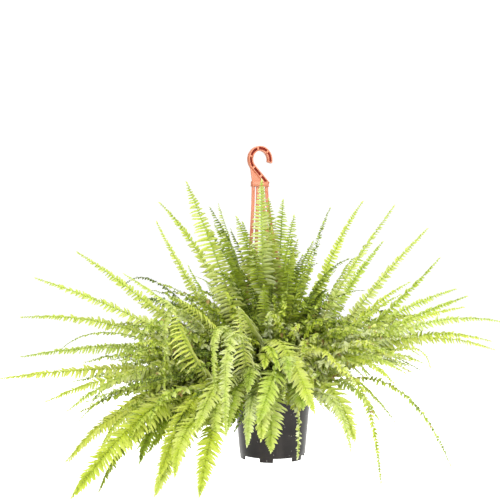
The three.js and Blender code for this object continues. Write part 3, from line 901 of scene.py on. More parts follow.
@dataclass(frozen=True)
class Frond:
    """One frond: its rib, the half width of its blade, its roll and its tone."""

    rib: Rib
    bearing: float
    half_width: float
    roll: float
    tone: float
    hue: float
    kind: Kind
    seed: int
    fine: bool = False
    buried: float = 0.0  # how far the stalk goes on straight down below the root

    def blade_width(self, share: float) -> float:
        """Returns the half width at a share of the blade: short at the foot, fine at the tip."""
        shape = min(1.0, 0.28 + 2.3 * share) * (1 - share**self.kind.value.taper)
        return self.half_width * self.kind.value.spread * shape + GROWTH.least_reach

    def grow(self, bm: Mesh, foliage: Foliage) -> None:
        """Adds the frond's rib and pinnae to a mesh.

        Args:
            bm: The mesh.
            foliage: Templates and finishes.
        """
        path = self.rib.samples(GROWTH.samples)
        steps = np.linalg.norm(np.diff(path, axis=0), axis=1)
        walked = np.concatenate([[0], np.cumsum(steps)])
        length = float(walked[-1])
        shares = np.linspace(0, 1, GROWTH.samples)

        def at(distance: float) -> tuple[Vector, Vector, Vector, Vector]:
            """Follows the rib.

            Args:
                distance: Distance from the root, along the rib.

            Returns:
                The point there and the unit directions along the rib, to its side and up.
            """
            share = float(np.interp(distance, walked, shares))
            along = self.rib.along(share)
            across = squared(sideways(self.bearing), along)
            normal = along.cross(across)
            turn = self.roll * smoothstep(distance / (length * GROWTH.ease))
            side = across * math.cos(turn) + normal * math.sin(turn)
            up = normal * math.cos(turn) - across * math.sin(turn)
            return self.rib.point(share), along, side, up

        self._add_rib(bm, at, length)
        self._add_pinnae(bm, foliage, at, length)

    def _add_rib(self, bm: Mesh, at: Walk, length: float) -> None:
        """Adds the tapered stalk.

        Args:
            bm: The frond's mesh.
            at: Gives point, along, side and up at a distance from the root.
            length: Length of the rib.
        """
        stalk = bmesh.new()
        stations = []
        if self.buried:
            foot, _, side, _ = at(0)
            across = side.cross(UP).normalized()
            radius = GROWTH.stalk_radius
            low = foot - UP * self.buried
            stations.append(basis(side * radius, across * radius, side.cross(across), low))
        for step in range(GROWTH.stalk_steps + 1):
            share = step / GROWTH.stalk_steps
            point, _, side, up = at(length * (0.002 + 0.996 * share))
            radius = GROWTH.stalk_radius * (1 - 0.8 * share**0.8)
            stations.append(basis(side * radius, up * radius, side.cross(up), point))
        sweep(stalk, stations, GROWTH.stalk_sides)
        tone = stalk.loops.layers.uv.new("Tone")
        stalk.loops.layers.uv.new("Pinna")
        for face in stalk.faces:
            face.material_index = 1
            for loop in face.loops:
                share = (loop.vert.co - self.rib.root).length / length
                loop[tone].uv = (self.tone, min(1.0, share))
        merge_into(bm, stalk)

    def _add_pinnae(self, bm: Mesh, foliage: Foliage, at: Walk, length: float) -> None:
        """Adds the two rows of pinnae and the one at the tip.

        Args:
            bm: The frond's mesh.
            foliage: Templates and finishes.
            at: Gives point, along, side and up at a distance from the root.
            length: Length of the rib.
        """
        rng = random.Random(self.seed)
        habit = self.kind.value
        start = length * GROWTH.bare
        blade = length - start
        crisp = self.kind in (Kind.CRISPED, Kind.THREAD)
        stray = GROWTH.crisp_stray if crisp else GROWTH.even_stray
        templates = foliage.fine if self.fine else foliage.small if crisp else foliage.coarse
        distance = start
        while distance < length - 1.5 * MM:
            share = (distance - start) / blade
            pitch = habit.pitch * (1 - GROWTH.closing * share**2.2)
            pitch *= min(1.0, GROWTH.least_pitch + blade * 2.0)
            for hand in (1, -1):
                shift = rng.uniform(-GROWTH.stagger_stray, GROWTH.stagger_stray)
                stagger = pitch * (shift + GROWTH.stagger * hand)
                point, along, side, up = at(min(length, max(0.0, distance + stagger)))
                reach = self.blade_width(share) * rng.uniform(*GROWTH.reach_stray)
                leaning = habit.lean + GROWTH.leaning * share**2.5
                lean = math.radians(leaning + self._stray(rng, 0.6))
                droop = math.radians(habit.droop + self._stray(rng, 1.0))
                out = side * hand * math.cos(lean) + along * math.sin(lean)
                sky = squared(up + UP * (habit.upturn * (1.1 + up.z)), out)
                x = out * math.cos(droop) - sky * math.sin(droop)
                twist = Matrix.Rotation(math.radians(self._stray(rng, 1.4)), 3, x)
                z = twist @ (sky * math.cos(droop) + out * math.sin(droop))
                width = pitch * habit.breadth * rng.uniform(*GROWTH.width_stray)
                width = min(width, reach * GROWTH.widest)
                place = basis(x * reach, z.cross(x) * width, z * reach, point)
                tone = self.tone + rng.uniform(-stray, stray) + GROWTH.pale_foot - GROWTH.fading * share
                hue = clamp(self.hue + rng.uniform(-stray, stray))
                if crisp and rng.random() < GROWTH.dry_share:
                    hue = GROWTH.dry_hue
                template = templates[rng.choice(habit.waves), hand]
                foliage.add(bm, template, place, (clamp(tone), hue))
            distance += pitch
        point, along, _, up = at(length)
        end = basis(along * 6 * MM, up.cross(along) * 3 * MM, up * 6 * MM, point - along * MM)
        foliage.add(bm, templates[Wave.FLAT, 1], end, (min(1.0, self.tone + 0.1), self.hue))

    def _stray(self, rng: random.Random, share: float) -> float:
        """Returns a random turn in degrees, up to a share of the habit's disorder."""
        return rng.uniform(-1, 1) * share * self.kind.value.disorder


@dataclass(frozen=True)
class RibFinder:
    """Finds the rib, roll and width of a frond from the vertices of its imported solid."""

    axis: Vector  # middle of the soil's top
    spots: np.ndarray  # vertices of the solid, one row each
    steps: int = 48  # of a rib, from the ends of which distances are taken
    first_move: float = 64 * MM  # first and last step of the search for the knee
    last_move: float = 0.4 * MM
    outer: tuple[float, float] = (0.5, 0.85)  # shares of the rib at which the blade is measured
    tips: tuple[float, float] = (6 * MM, 36 * MM)  # distances from the rib of leaflet tips
    usual_half_width: float = 22 * MM
    taper: float = 2.6

    def root(self) -> Vector:
        """Finds the frond's root from the stalk's buried foot.

        Returns:
            Where the stalk leaves the soil, over the middle of the foot.
        """
        rise = self.spots[:, 2] - self.axis.z
        level = np.hypot(self.spots[:, 0] - self.axis.x, self.spots[:, 1] - self.axis.y)
        foot = self.spots[(rise < -5 * MM) & (level < 55 * MM)]
        middle = (foot.min(0) + foot.max(0)) / 2
        return Vector((middle[0], middle[1], self.axis.z))

    def farthest(self, root: Vector, among: np.ndarray) -> Vector:
        """Returns the vertex that is farthest from the root, among those given."""
        away = np.linalg.norm(among - np.array(root), axis=1)
        return Vector(among[int(away.argmax())])

    def bearing_of(self, tip: Vector) -> float:
        """Returns the bearing of a tip, seen from the pot's axis."""
        return math.degrees(math.atan2(tip.y - self.axis.y, tip.x - self.axis.x))

    def distance(self, rib: Rib) -> tuple[np.ndarray, np.ndarray]:
        """Measures how far the vertices are from a rib.

        Args:
            rib: The rib.

        Returns:
            Each vertex's distance, and the share along the rib of the point nearest to it.
        """
        path = rib.samples(self.steps + 1)
        gaps = np.linalg.norm(self.spots[:, None, :] - path[None, :, :], axis=2)
        return gaps.min(1), gaps.argmin(1) / self.steps

    def fit(self, root: Vector, tip: Vector) -> Rib:
        """Finds the knee for which the rib runs closest to the most vertices.

        Args:
            root: Where the frond starts.
            tip: Where it ends.

        Returns:
            The rib.
        """
        away = outward(self.bearing_of(tip))

        def rib_at(reach: float, height: float) -> Rib:
            """Returns the rib with a knee at a reach and height over the soil's middle."""
            return Rib(root, self.axis + away * reach + UP * height, tip)

        def cost(spot: tuple[float, float], limit: float) -> float:
            """Returns the sum of the squared distances, each cut off at a limit."""
            gaps, _ = self.distance(rib_at(*spot))
            return float((np.minimum(gaps, limit) ** 2).sum())

        reach = (tip - self.axis).dot(away)
        best = (0.55 * reach, max(0.0, tip.z - self.axis.z) * 0.5 + 0.1)
        step = self.first_move
        while step > self.last_move:
            limit = max(5 * MM, step / 2)
            moves = [(a * step, b * step) for a in (-1, 0, 1) for b in (-1, 0, 1)]
            tried = [(best[0] + a, best[1] + b) for a, b in moves]
            better = min(tried, key=lambda spot: cost(spot, limit))
            if better == best:
                step /= 2
            best = better
        return rib_at(*best)

    def roll_and_width(self, rib: Rib, bearing: float) -> tuple[float, float]:
        """Measures the blade from the leaflet tips in the outer half of the rib.

        Args:
            rib: The rib.
            bearing: Bearing of its tip.

        Returns:
            The roll in radians and the half width at the widest.
        """
        gaps, shares = self.distance(rib)
        rights, lefts = [], []
        for spot, gap, share in zip(self.spots, gaps, shares):
            if not self.outer[0] < share < self.outer[1] or not self.tips[0] < gap < self.tips[1]:
                continue
            along = rib.along(share)
            across = squared(sideways(bearing), along)
            offset = Vector(spot) - rib.point(share)
            seen = Vector((offset.dot(across), offset.dot(along.cross(across)), share))
            (rights if seen.x > 0 else lefts).append(seen)
        if not rights or not lefts:
            return 0.0, self.usual_half_width
        right, left = (sum(row, Vector()) / len(row) for row in (rights, lefts))
        span = right - left
        share = (right.z + left.z) / 2
        half = math.hypot(span.x, span.y) / 2
        return math.atan2(span.y, span.x), half / (1 - share**self.taper)


@dataclass(frozen=True)
class Row:
    """A listed frond: tip and knee in millimetres from the soil's middle, width and roll."""

    bearing: float
    reach: float
    height: float
    knee_reach: float
    knee_height: float
    half_width: float = 27.0
    roll: float = 0.0
    tone: float = 0.5
    hue: float = 0.3
    kind: Kind = Kind.COMB
    turn: float = 0.0  # degrees from the tip's bearing to the knee's


@dataclass(frozen=True)
class Tier:
    """A ring of fronds that fill the plant, between two bearings."""

    name: str
    kind: Kind
    count: int
    first: float
    last: float
    reach: tuple[float, float]
    height: tuple[float, float]
    lift: tuple[float, float]  # how far the knee stands over half the tip's height
    tone: tuple[float, float]
    hue: tuple[float, float] = (0.1, 0.7)
    half_width: float = 27.0


HANGING_ROWS = (
    Row(225, 255, 67, 330, 340, 16, 0, 0.68, 0.55, Kind.RIBBON),
    Row(248, 270, 55, 325, 290, 16, 25, 0.60, 0.60, Kind.RIBBON),
    Row(254, 299, -10, 335, 300, 18, -10, 0.66, 0.65, Kind.RIBBON),
    Row(228, 280, 40, 320, 270, 18, 35, 0.55, 0.50, Kind.CRISPED),
    Row(219, 300, 60, 330, 300, 18, -30, 0.50, 0.60, Kind.CRISPED),
    Row(259, 250, -36, 205, 110, 20, 5, 0.72, 0.80, Kind.BROAD),
    Row(252, 262, -12, 215, 120, 24, 15, 0.50, 0.60, Kind.BROAD),
    Row(289, 208, 12, 165, 250, 34, -10, 0.56, 0.30, Kind.BROAD, -28),
    Row(285, 195, 35, 150, 160, 22, 20, 0.35, 0.55, Kind.RIBBON),
    Row(293, 175, 50, 120, 150, 26, 25, 0.60, 0.10, Kind.FEATHER),
    Row(286, 150, -78, 190, 60, 14, 0, 0.90, 0.55, Kind.CRISPED),
    Row(301, 250, -50, 215, 90, 25, 10, 0.74, 0.75, Kind.FEATHER),
    Row(309, 255, 70, 210, 150, 24, -10, 0.60, 0.60, Kind.CRISPED),
    Row(318, 290, 95, 235, 170, 22, 20, 0.60, 0.60, Kind.CRISPED),
)

PALE_ROWS = (
    Row(262, 150, 120, 120, 170, 24, 0, 0.60, 0.75, Kind.RIBBON),
    Row(281, 160, 110, 120, 160, 24, 15, 0.45, 0.80, Kind.RIBBON),
    Row(270, 210, 70, 170, 170, 24, 20, 0.50, 0.85, Kind.CRISPED),
    Row(234, 290, 192, 238, 45, 39, 5, 0.60, 0.12, Kind.OPEN),
    Row(255, 240, 192, 212, 55, 32, 0, 0.70, 0.25, Kind.OPEN),
    Row(258, 225, 50, 190, 150, 30, 10, 0.50, 0.70, Kind.BROAD),
    Row(263, 235, 0, 205, 150, 30, -15, 0.45, 0.65, Kind.BROAD, 12),
    Row(276, 225, 70, 185, 160, 28, 15, 0.55, 0.80, Kind.RIBBON),
    Row(283, 200, 100, 150, 190, 26, -20, 0.70, 0.25, Kind.CRISPED, 15),
    Row(300, 240, 75, 200, 190, 24, -20, 0.66, 0.05, Kind.RIBBON, -15),
)

FAN_ROWS = (
    Row(222, 395, -110, 330, 40, 34, 15, 0.45, 0.30, Kind.BROAD),
    Row(241, 340, -75, 330, 60, 28, -20, 0.50, 0.30, Kind.BROAD),
    Row(207, 400, -75, 315, 60, 26, -35, 0.65, 0.00, Kind.COMB),
    Row(200, 375, -20, 295, 95, 26, 20, 0.45, 0.45, Kind.FEATHER),
    Row(195, 345, 10, 280, 125, 26, -25, 0.35, 0.60, Kind.FEATHER),
    Row(228, 365, -35, 335, 80, 28, 30, 0.40, 0.30, Kind.COMB),
    Row(214, 365, -60, 320, 70, 28, 10, 0.50, 0.20, Kind.COMB),
    Row(233, 345, -5, 345, 105, 26, -15, 0.45, 0.50, Kind.CRISPED),
    Row(248, 265, -30, 310, 100, 26, 0, 0.60, 0.45, Kind.BROAD),
    Row(218, 330, -40, 300, 90, 28, -20, 0.30, 0.55, Kind.CRISPED),
    Row(210, 300, -30, 270, 120, 28, 15, 0.55, 0.40, Kind.CRISPED),
    Row(224, 320, -70, 290, 60, 30, -10, 0.35, 0.50, Kind.BROAD),
    Row(237, 300, -60, 290, 80, 30, 20, 0.60, 0.35, Kind.BROAD),
    Row(203, 330, -60, 280, 70, 26, 0, 0.40, 0.65, Kind.FEATHER),
    Row(186, 400, 105, 300, 200, 22, 10, 0.45, 0.50, Kind.FEATHER),
    Row(165, 300, 225, 230, 290, 20, 30, 0.05, 0.70, Kind.FEATHER),
    Row(172, 235, 212, 150, 205, 24, 20, 0.42, 0.50, Kind.CRISPED),
    Row(188, 215, 228, 130, 210, 24, -20, 0.52, 0.40, Kind.CRISPED),
    Row(160, 255, 190, 165, 195, 24, 10, 0.34, 0.60, Kind.CRISPED),
    Row(200, 235, 195, 150, 190, 24, 0, 0.56, 0.40, Kind.FEATHER),
)

TOP_ROWS = (
    Row(236, 120, 350, 30, 230, 30, 15, 0.52, 0.35, Kind.COMB),
    Row(268, 95, 330, 25, 220, 32, 0, 0.58, 0.35, Kind.COMB),
    Row(300, 105, 280, 30, 190, 30, -10, 0.12, 0.45, Kind.COMB),
    Row(322, 130, 240, 50, 180, 28, -20, 0.40, 0.30, Kind.COMB),
    Row(250, 110, 290, 40, 190, 28, 10, 0.25, 0.30, Kind.COMB),
    Row(285, 110, 270, 40, 190, 28, -5, 0.35, 0.35, Kind.COMB),
    Row(215, 150, 330, 45, 220, 28, 30, 0.34, 0.40, Kind.COMB),
    Row(190, 120, 370, 35, 240, 28, 25, 0.24, 0.50, Kind.COMB),
    Row(150, 130, 340, 40, 230, 28, 0, 0.30, 0.50, Kind.COMB),
    Row(262, 60, 385, 15, 240, 32, 10, 0.62, 0.45, Kind.COMB),
    Row(100, 80, 370, 25, 240, 30, 0, 0.35, 0.40, Kind.COMB),
    Row(55, 90, 310, 30, 220, 28, 0, 0.20, 0.40, Kind.COMB),
    Row(175, 80, 330, 25, 220, 30, 20, 0.20, 0.30, Kind.COMB),
    Row(345, 120, 250, 40, 190, 26, -20, 0.25, 0.30, Kind.FEATHER),
    Row(310, 112, 305, 30, 200, 30, -10, 0.34, 0.40, Kind.COMB),
    Row(290, 108, 352, 28, 225, 30, 0, 0.46, 0.45, Kind.COMB),
    Row(240, 112, 340, 30, 225, 30, 5, 0.36, 0.50, Kind.COMB),
)

ACCENTS = {
    1: (0.62, 0.05), 3: (0.58, 0.40), 4: (0.60, 0.45), 5: (0.55, 0.40), 6: (0.60, 0.40),
    7: (0.55, 0.35), 8: (0.12, 0.80), 9: (0.56, 0.40), 10: (0.58, 0.60), 11: (0.66, 0.72),
    12: (0.46, 0.55), 13: (0.24, 0.40), 14: (0.16, 0.50), 15: (0.45, 0.30), 16: (0.62, 0.55),
    18: (0.62, 0.50), 19: (0.40, 0.50), 24: (0.60, 0.05), 25: (0.55, 0.20), 28: (0.60, 0.00),
    29: (0.42, 0.15), 30: (0.60, 0.35), 46: (0.60, 0.15), 47: (0.72, 0.30),
}

SPECIAL_KINDS = {
    8: Kind.COMB, 14: Kind.THREAD, 39: Kind.THREAD, 42: Kind.THREAD, 43: Kind.THREAD, 46: Kind.OPEN,
    47: Kind.OPEN,
}


@dataclass
class Crown:
    """All the fronds: one piece for each packed one, and tiers of finer ones between them."""

    foliage: Foliage
    seed: int = 7
    sprout_gap: float = 33 * MM  # farther than this from the rib, a vertex is a young frond's
    comb_span: float = 0.16  # tips nearer than this to the middle, left or right, are broad
    comb_height: float = 0.15  # and those higher than this over the soil are combs
    near: float = -0.24  # packed fronds with a tip in front of this get the finer pinnae
    near_row: float = -0.19  # and so do those placed from rows in front of this
    hollow: tuple[float, float] = (224, 266)  # bearings of the hollow behind the open combs, where the fill gets painted shade
    hollow_painted_shade: float = 0.38  # how much deeper the tone of the fill is there, as painted shade
    back_tone: float = 0.36
    front_painted_light: float = 0.20  # painted light: how much paler packed fronds are in front, on the lit side
    tone_stray: float = 0.16
    packed_foot: float = 11 * MM  # how far the stalks go down into the soil
    row_foot: float = 6 * MM
    foot_ring: float = 44.0  # where flat fronds leave the soil, in millimetres from its middle
    foot_draw: float = 38.0  # how much nearer to the middle upright ones do
    flat_launch: float = 35.0  # degrees over the level up to which a frond is a flat one
    upright_launch: float = 85.0  # and from which it is upright
    bearing_stray: float = 7.0  # random parts of the fill, in degrees
    turn_stray: float = 16.0
    roll_stray: float = 40.0
    knee_share: tuple[float, float] = (0.42, 0.58)  # reach of the fill's knees over that of their tips
    knee_rise: float = 0.62  # the same for the heights, before a tier's lift
    width_stray: tuple[float, float] = (0.85, 1.1)
    rows: tuple[tuple[str, tuple[Row, ...]], ...] = (
        ("hanging_fronds", HANGING_ROWS), ("pale_fronds", PALE_ROWS), ("fan_fronds", FAN_ROWS),
        ("top_fronds", TOP_ROWS),
    )
    tiers: tuple[Tier, ...] = (
        Tier("infill_heart", Kind.COMB, 18, 0, 345, (50, 130), (110, 220), (60, 110), (-0.1, 0.3)),
        Tier("infill_high", Kind.FEATHER, 15, 20, 340, (110, 210), (210, 300), (60, 110), (0.1, 0.5)),
        Tier("infill_middle", Kind.FEATHER, 28, 8, 352, (190, 290), (60, 180), (70, 130), (0.15, 0.6)),
        Tier("infill_left", Kind.BROAD, 14, 172, 242, (180, 310), (-90, 20), (90, 150), (0.2, 0.7)),
        Tier("infill_right", Kind.FEATHER, 4, 306, 350, (120, 200), (30, 80), (80, 130), (0.4, 0.8)),
        Tier("infill_back", Kind.FEATHER, 16, 15, 175, (220, 330), (-60, 60), (90, 150), (0.1, 0.5)),
        Tier("crisp_left", Kind.CRISPED, 40, 165, 245, (110, 310), (-40, 150), (60, 110), (0.15, 0.9)),
        Tier("crisp_wing", Kind.CRISPED, 24, 174, 219, (270, 390), (-60, 105), (60, 110), (0.3, 0.9)),
        Tier("crisp_right", Kind.CRISPED, 34, 300, 385, (110, 320), (65, 165), (60, 110), (0.3, 1.0)),
        Tier("crisp_front", Kind.CRISPED, 34, 212, 325, (110, 230), (10, 150), (60, 120), (0.2, 0.85)),
        Tier("crisp_crown", Kind.CRISPED, 36, 205, 330, (120, 230), (110, 235), (30, 90), (0.2, 0.85)),
        Tier("crisp_shoulders", Kind.CRISPED, 28, 158, 232, (150, 330), (40, 230), (40, 100), (0.1, 0.9)),
    )

    def build(self) -> None:
        """Builds every frond's piece."""
        self.axis, _, _ = top_of("soil")
        for name in sorted(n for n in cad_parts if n.startswith("frond_")):
            self._redo(name)
        for name, rows in self.rows:
            bm = bmesh.new()
            for number, row in enumerate(rows):
                self._from_row(row, 500 + number).grow(bm, self.foliage)
            make_piece(name, bm, self.foliage.materials)
        for tier in self.tiers:
            self._fill(tier)

    def _redo(self, name: str) -> None:
        """Builds the fine frond, and its young one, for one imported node.

        Args:
            name: The node.
        """
        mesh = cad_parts[name].data
        flat = np.zeros(len(mesh.vertices) * 3)
        mesh.vertices.foreach_get("co", flat)
        spots = np.unique(flat.reshape(-1, 3).round(6), axis=0)
        finder = RibFinder(self.axis, spots)
        root = finder.root()
        number = int(name.split("_")[1])
        bm = bmesh.new()
        grown = finder.fit(root, finder.farthest(root, spots))
        self._frond(finder, grown, number, buried=True).grow(bm, self.foliage)
        gaps, _ = finder.distance(grown)
        loose = spots[gaps > self.sprout_gap]
        if len(loose) > 8:
            young = finder.fit(root, finder.farthest(root, loose))
            self._frond(finder, young, number + 100, buried=False).grow(bm, self.foliage)
        make_piece(f"{name}_leaves", bm, self.foliage.materials, name)

    def _frond(self, finder: RibFinder, rib: Rib, seed: int, buried: bool) -> Frond:
        """Turns a rib that was found into a frond.

        Args:
            finder: The finder that found it.
            rib: The rib.
            seed: Seed of its random draws.
            buried: Whether its stalk goes on down into the soil.

        Returns:
            The frond.
        """
        rng = random.Random(seed)
        bearing = finder.bearing_of(rib.tip)
        roll, half_width = finder.roll_and_width(rib, bearing)
        # painted light: packed fronds nearer the front get a paler tone
        front = smoothstep(0.5 - rib.tip.y / 0.5)
        tone = self.back_tone + self.front_painted_light * front + rng.uniform(-self.tone_stray, self.tone_stray)
        tone, hue = ACCENTS.get(seed, (tone, rng.uniform(0.0, 0.75)))
        near = rib.tip.y < self.near
        upright = rib.tip.z > self.axis.z + self.comb_height
        middle = abs(rib.tip.x - self.axis.x) < self.comb_span
        kind = Kind.COMB if middle and upright else Kind.BROAD if near or middle else Kind.FEATHER
        return Frond(
            rib=rib,
            bearing=bearing,
            half_width=half_width,
            roll=roll,
            tone=tone,
            hue=hue,
            kind=SPECIAL_KINDS.get(seed, kind),
            seed=seed,
            fine=near,
            buried=self.packed_foot if buried else 0.0,
        )

    def _from_row(self, row: Row, seed: int) -> Frond:
        """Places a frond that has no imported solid.

        Args:
            row: Its sizes.
            seed: Seed of its random draws.

        Returns:
            The frond.
        """
        launch = math.degrees(math.atan2(row.knee_height, max(5.0, row.knee_reach - 30)))
        steep = clamp((launch - self.flat_launch) / (self.upright_launch - self.flat_launch))

        def spot(reach: float, height: float, turn: float) -> Vector:
            """Returns a point from sizes in millimetres and the turn from the tip's bearing."""
            return self.axis + (outward(row.bearing + turn) * reach + UP * height) * MM

        root = spot(self.foot_ring - self.foot_draw * steep, 0, row.turn)
        knee = spot(row.knee_reach, row.knee_height, row.turn)
        rib = Rib(root, knee, spot(row.reach, row.height, 0))
        return Frond(
            rib=rib,
            bearing=row.bearing + row.turn / 2,
            half_width=row.half_width * MM,
            roll=math.radians(row.roll),
            tone=row.tone,
            hue=row.hue,
            kind=row.kind,
            seed=seed,
            fine=rib.tip.y < self.near_row and row.kind is not Kind.CRISPED,
            buried=self.row_foot,
        )

    def _fill(self, tier: Tier) -> None:
        """Builds one tier of fill as one piece.

        Args:
            tier: The tier.
        """
        rng = random.Random(self.seed + tier.count)
        bm = bmesh.new()
        for place in range(tier.count):
            share = place / (tier.count - 1)
            stray = rng.uniform(-self.bearing_stray, self.bearing_stray)
            bearing = tier.first + (tier.last - tier.first) * share + stray
            reach, height = rng.uniform(*tier.reach), rng.uniform(*tier.height)
            # painted shade: fill in the hollow behind the open combs gets a deeper tone
            depth = self.hollow_painted_shade if self.hollow[0] < bearing < self.hollow[1] else 0.0
            row = Row(
                bearing=bearing,
                reach=reach,
                height=height,
                knee_reach=reach * rng.uniform(*self.knee_share),
                knee_height=max(0.0, height) * self.knee_rise + rng.uniform(*tier.lift),
                half_width=tier.half_width * rng.uniform(*self.width_stray),
                roll=rng.uniform(-self.roll_stray, self.roll_stray),
                tone=rng.uniform(*tier.tone) - depth,
                hue=rng.uniform(*tier.hue),
                kind=tier.kind,
                turn=rng.uniform(-self.turn_stray, self.turn_stray),
            )
            self._from_row(row, 1000 + tier.count * 50 + place).grow(bm, self.foliage)
        make_piece(tier.name, bm, self.foliage.materials)


# ---- Hanger --------------------------------------------------------------------------------


@dataclass
class Hanger:
    """The moulded hanger: hook with hollowed faces, gusset, collar and four clipped straps."""

    plastic: Material
    # dark red material of the sunk floors: painted shade in the hollows
    painted_pocket_shade: Material
    turn: float = 30.0  # bearing of the hook's plane
    inner_radius: float = 17 * MM
    bar: float = 9 * MM
    depth: float = 8 * MM
    end_angle: float = -14.0
    neck_angle: float = 225.0
    arc_steps: int = 48
    neck_steps: int = 24
    cell_steps: int = 12  # steps of the sweep between two cross ribs
    rail: float = 1.8 * MM
    hollow: float = 2.8 * MM
    draft: float = 0.3 * MM
    collar_top: float = -59 * MM
    collar_height: float = 10 * MM
    collar_half_width: float = 18 * MM
    collar_rail: float = 2.0 * MM
    collar_hollow: float = 1.2 * MM
    bead_height: float = 1.8 * MM
    bead_overhang: float = 1.4 * MM  # on both sides together
    gusset_depth: float = 2.4 * MM
    strap_width: float = 6.4 * MM
    strap_thickness: float = 2.5 * MM
    strap_pitch: float = 9.8 * MM
    strap_bearings: tuple[float, ...] = (215, 125, 305, 35)
    strap_drop: float = 80 * MM
    strap_slant: float = 0.12
    strap_twist: float = 0.4
    strap_steps: int = 40
    strap_rail: float = 1.5 * MM
    strap_hollow: float = 0.9 * MM
    fit: float = 0.3 * MM
    clip_gap: float = 0.7 * MM
    clip_height: float = 8 * MM
    clip_toe: float = 4.2 * MM
    clip_thickness: float = 2.4 * MM
    lip: float = 6 * MM  # height of the pot's lip, which the clips hold

    def build(self) -> None:
        """Builds the hook's piece and the four straps."""
        self.right = outward(self.turn)
        self.front = self.right.cross(UP)
        self.rim, self.rim_radius, _ = top_of("pot")
        self._hook()
        for number in range(len(self.strap_bearings)):
            self._strap(number)

    def _line(self) -> list[tuple[Vector, Vector]]:
        """Draws the middle of the bar, from the tip to the collar.

        Returns:
            Points and directions along it.
        """
        radius = self.inner_radius + self.bar / 2
        line = []
        for step in range(self.arc_steps + 1):
            share = step / self.arc_steps
            angle = math.radians(self.end_angle + (self.neck_angle - self.end_angle) * share)
            point = self.right * (radius * math.cos(angle))
            point = point + UP * (radius * math.sin(angle) - self.inner_radius)
            line.append((point, self.right * -math.sin(angle) + UP * math.cos(angle)))
        start = line[-1][0]
        fall = start.z - (self.collar_top - self.collar_height / 2)
        slope = (self.right - UP).normalized()
        for step in range(1, self.neck_steps + 1):
            line.append((start + (self.right - UP) * (fall * step / self.neck_steps), slope))
        return line

    def _station(self, wide: Vector, deep: Vector, size: tuple[float, float], place: Vector) -> Matrix:
        """Returns the station of a square bar, from unit directions, its width and depth, and a place."""
        x, y = (way * extent / math.sqrt(2) for way, extent in zip((wide, deep), size))
        return basis(x, y, wide.cross(deep), place)

    def _hook(self) -> None:
        """Builds the hook, its gusset and the collar as one piece."""
        bm = bmesh.new()
        line = self._line()
        size = (self.bar, self.depth)
        stations = [self._station(way.cross(self.front), self.front, size, spot) for spot, way in line]
        sweep(bm, stations, 4, math.pi / 4)
        step_of = bm.faces.layers.int["step"]
        for first in range(1, len(line), self.cell_steps):
            for out in (self.front, -self.front):
                cell = [f for f in facing(bm, out) if first <= f[step_of] < first + self.cell_steps]
                self._sink(bm, cell, self.rail, out * -self.hollow)
        bevel_sharp(bm, 50, 0.45 * MM)
        back = self.front * (-self.gusset_depth / 2)
        corners = [self.right * x + UP * z + back for x, z in self._gusset_outline()]
        add_plate(bm, corners, self.front * self.gusset_depth, 0.3 * MM)
        self._collar(bm)
        make_piece("hanger_hook_moulding", bm, [self.plastic, self.painted_pocket_shade], "hanger_hook")

    def _hollow(self, bm: Mesh, cell: Faces, rail: float, depth: float) -> None:
        """Sinks a group of faces below a rail of some width that stays round them."""
        inset(bm, cell, rail)
        inset(bm, cell, self.draft, depth)

    def _sink(self, bm: Mesh, cell: Faces, rail: float, inward: Vector) -> None:
        """Sinks a group of faces straight down, with square walls and a floor in the darker material, which
        is painted shade.

        Args:
            bm: Mesh.
            cell: The faces.
            rail: Width of the rail that stays round them.
            inward: How far and which way the faces go.
        """
        inset(bm, cell, rail)
        verts, floor = push_out(bm, cell, keep=False)
        bmesh.ops.translate(bm, vec=inward, verts=verts)
        # the sunk floors take the painted shade material
        for face in floor:
            face.material_index = 1

    def _gusset_outline(self) -> list[tuple[float, float]]:
        """Returns the corners of the web between hook and collar, as level distances and heights."""
        radius = self.inner_radius + self.bar / 2
        return [
            (1 * MM - self.collar_half_width, self.collar_top - 2 * MM),
            (self.bar + 2 * MM, self.collar_top - 2 * MM),
            (-radius * 0.62, -self.inner_radius - radius * 0.78),
            (-radius - 1.5 * MM, -self.inner_radius - 6 * MM),
        ]

    def _collar(self, bm: Mesh) -> None:
        """Adds the collar that the straps hang from, with a sunk panel and a bead along its foot.

        Args:
            bm: Mesh that it is added to.
        """
        width, over = 2 * self.collar_half_width, self.bead_overhang
        middle = self.collar_top - self.collar_height / 2
        low = self.collar_top - self.collar_height + self.bead_height / 2
        blocks = (
            (width, self.depth, self.collar_height, middle, 0.5 * MM, (self.front, -self.front)),
            (width + over, self.depth + over, self.bead_height, low, 0.6 * MM, ()),
        )
        for wide, deep, high, level, edge, panels in blocks:
            block = bmesh.new()
            sizes = (self.right * wide, self.front * deep, UP * high)
            bmesh.ops.create_cube(block, size=1, matrix=basis(*sizes, UP * level))
            for out in panels:
                self._hollow(block, facing(block, out), self.collar_rail, self.collar_hollow)
            bevel_sharp(block, 50, edge)
            merge_into(bm, block)

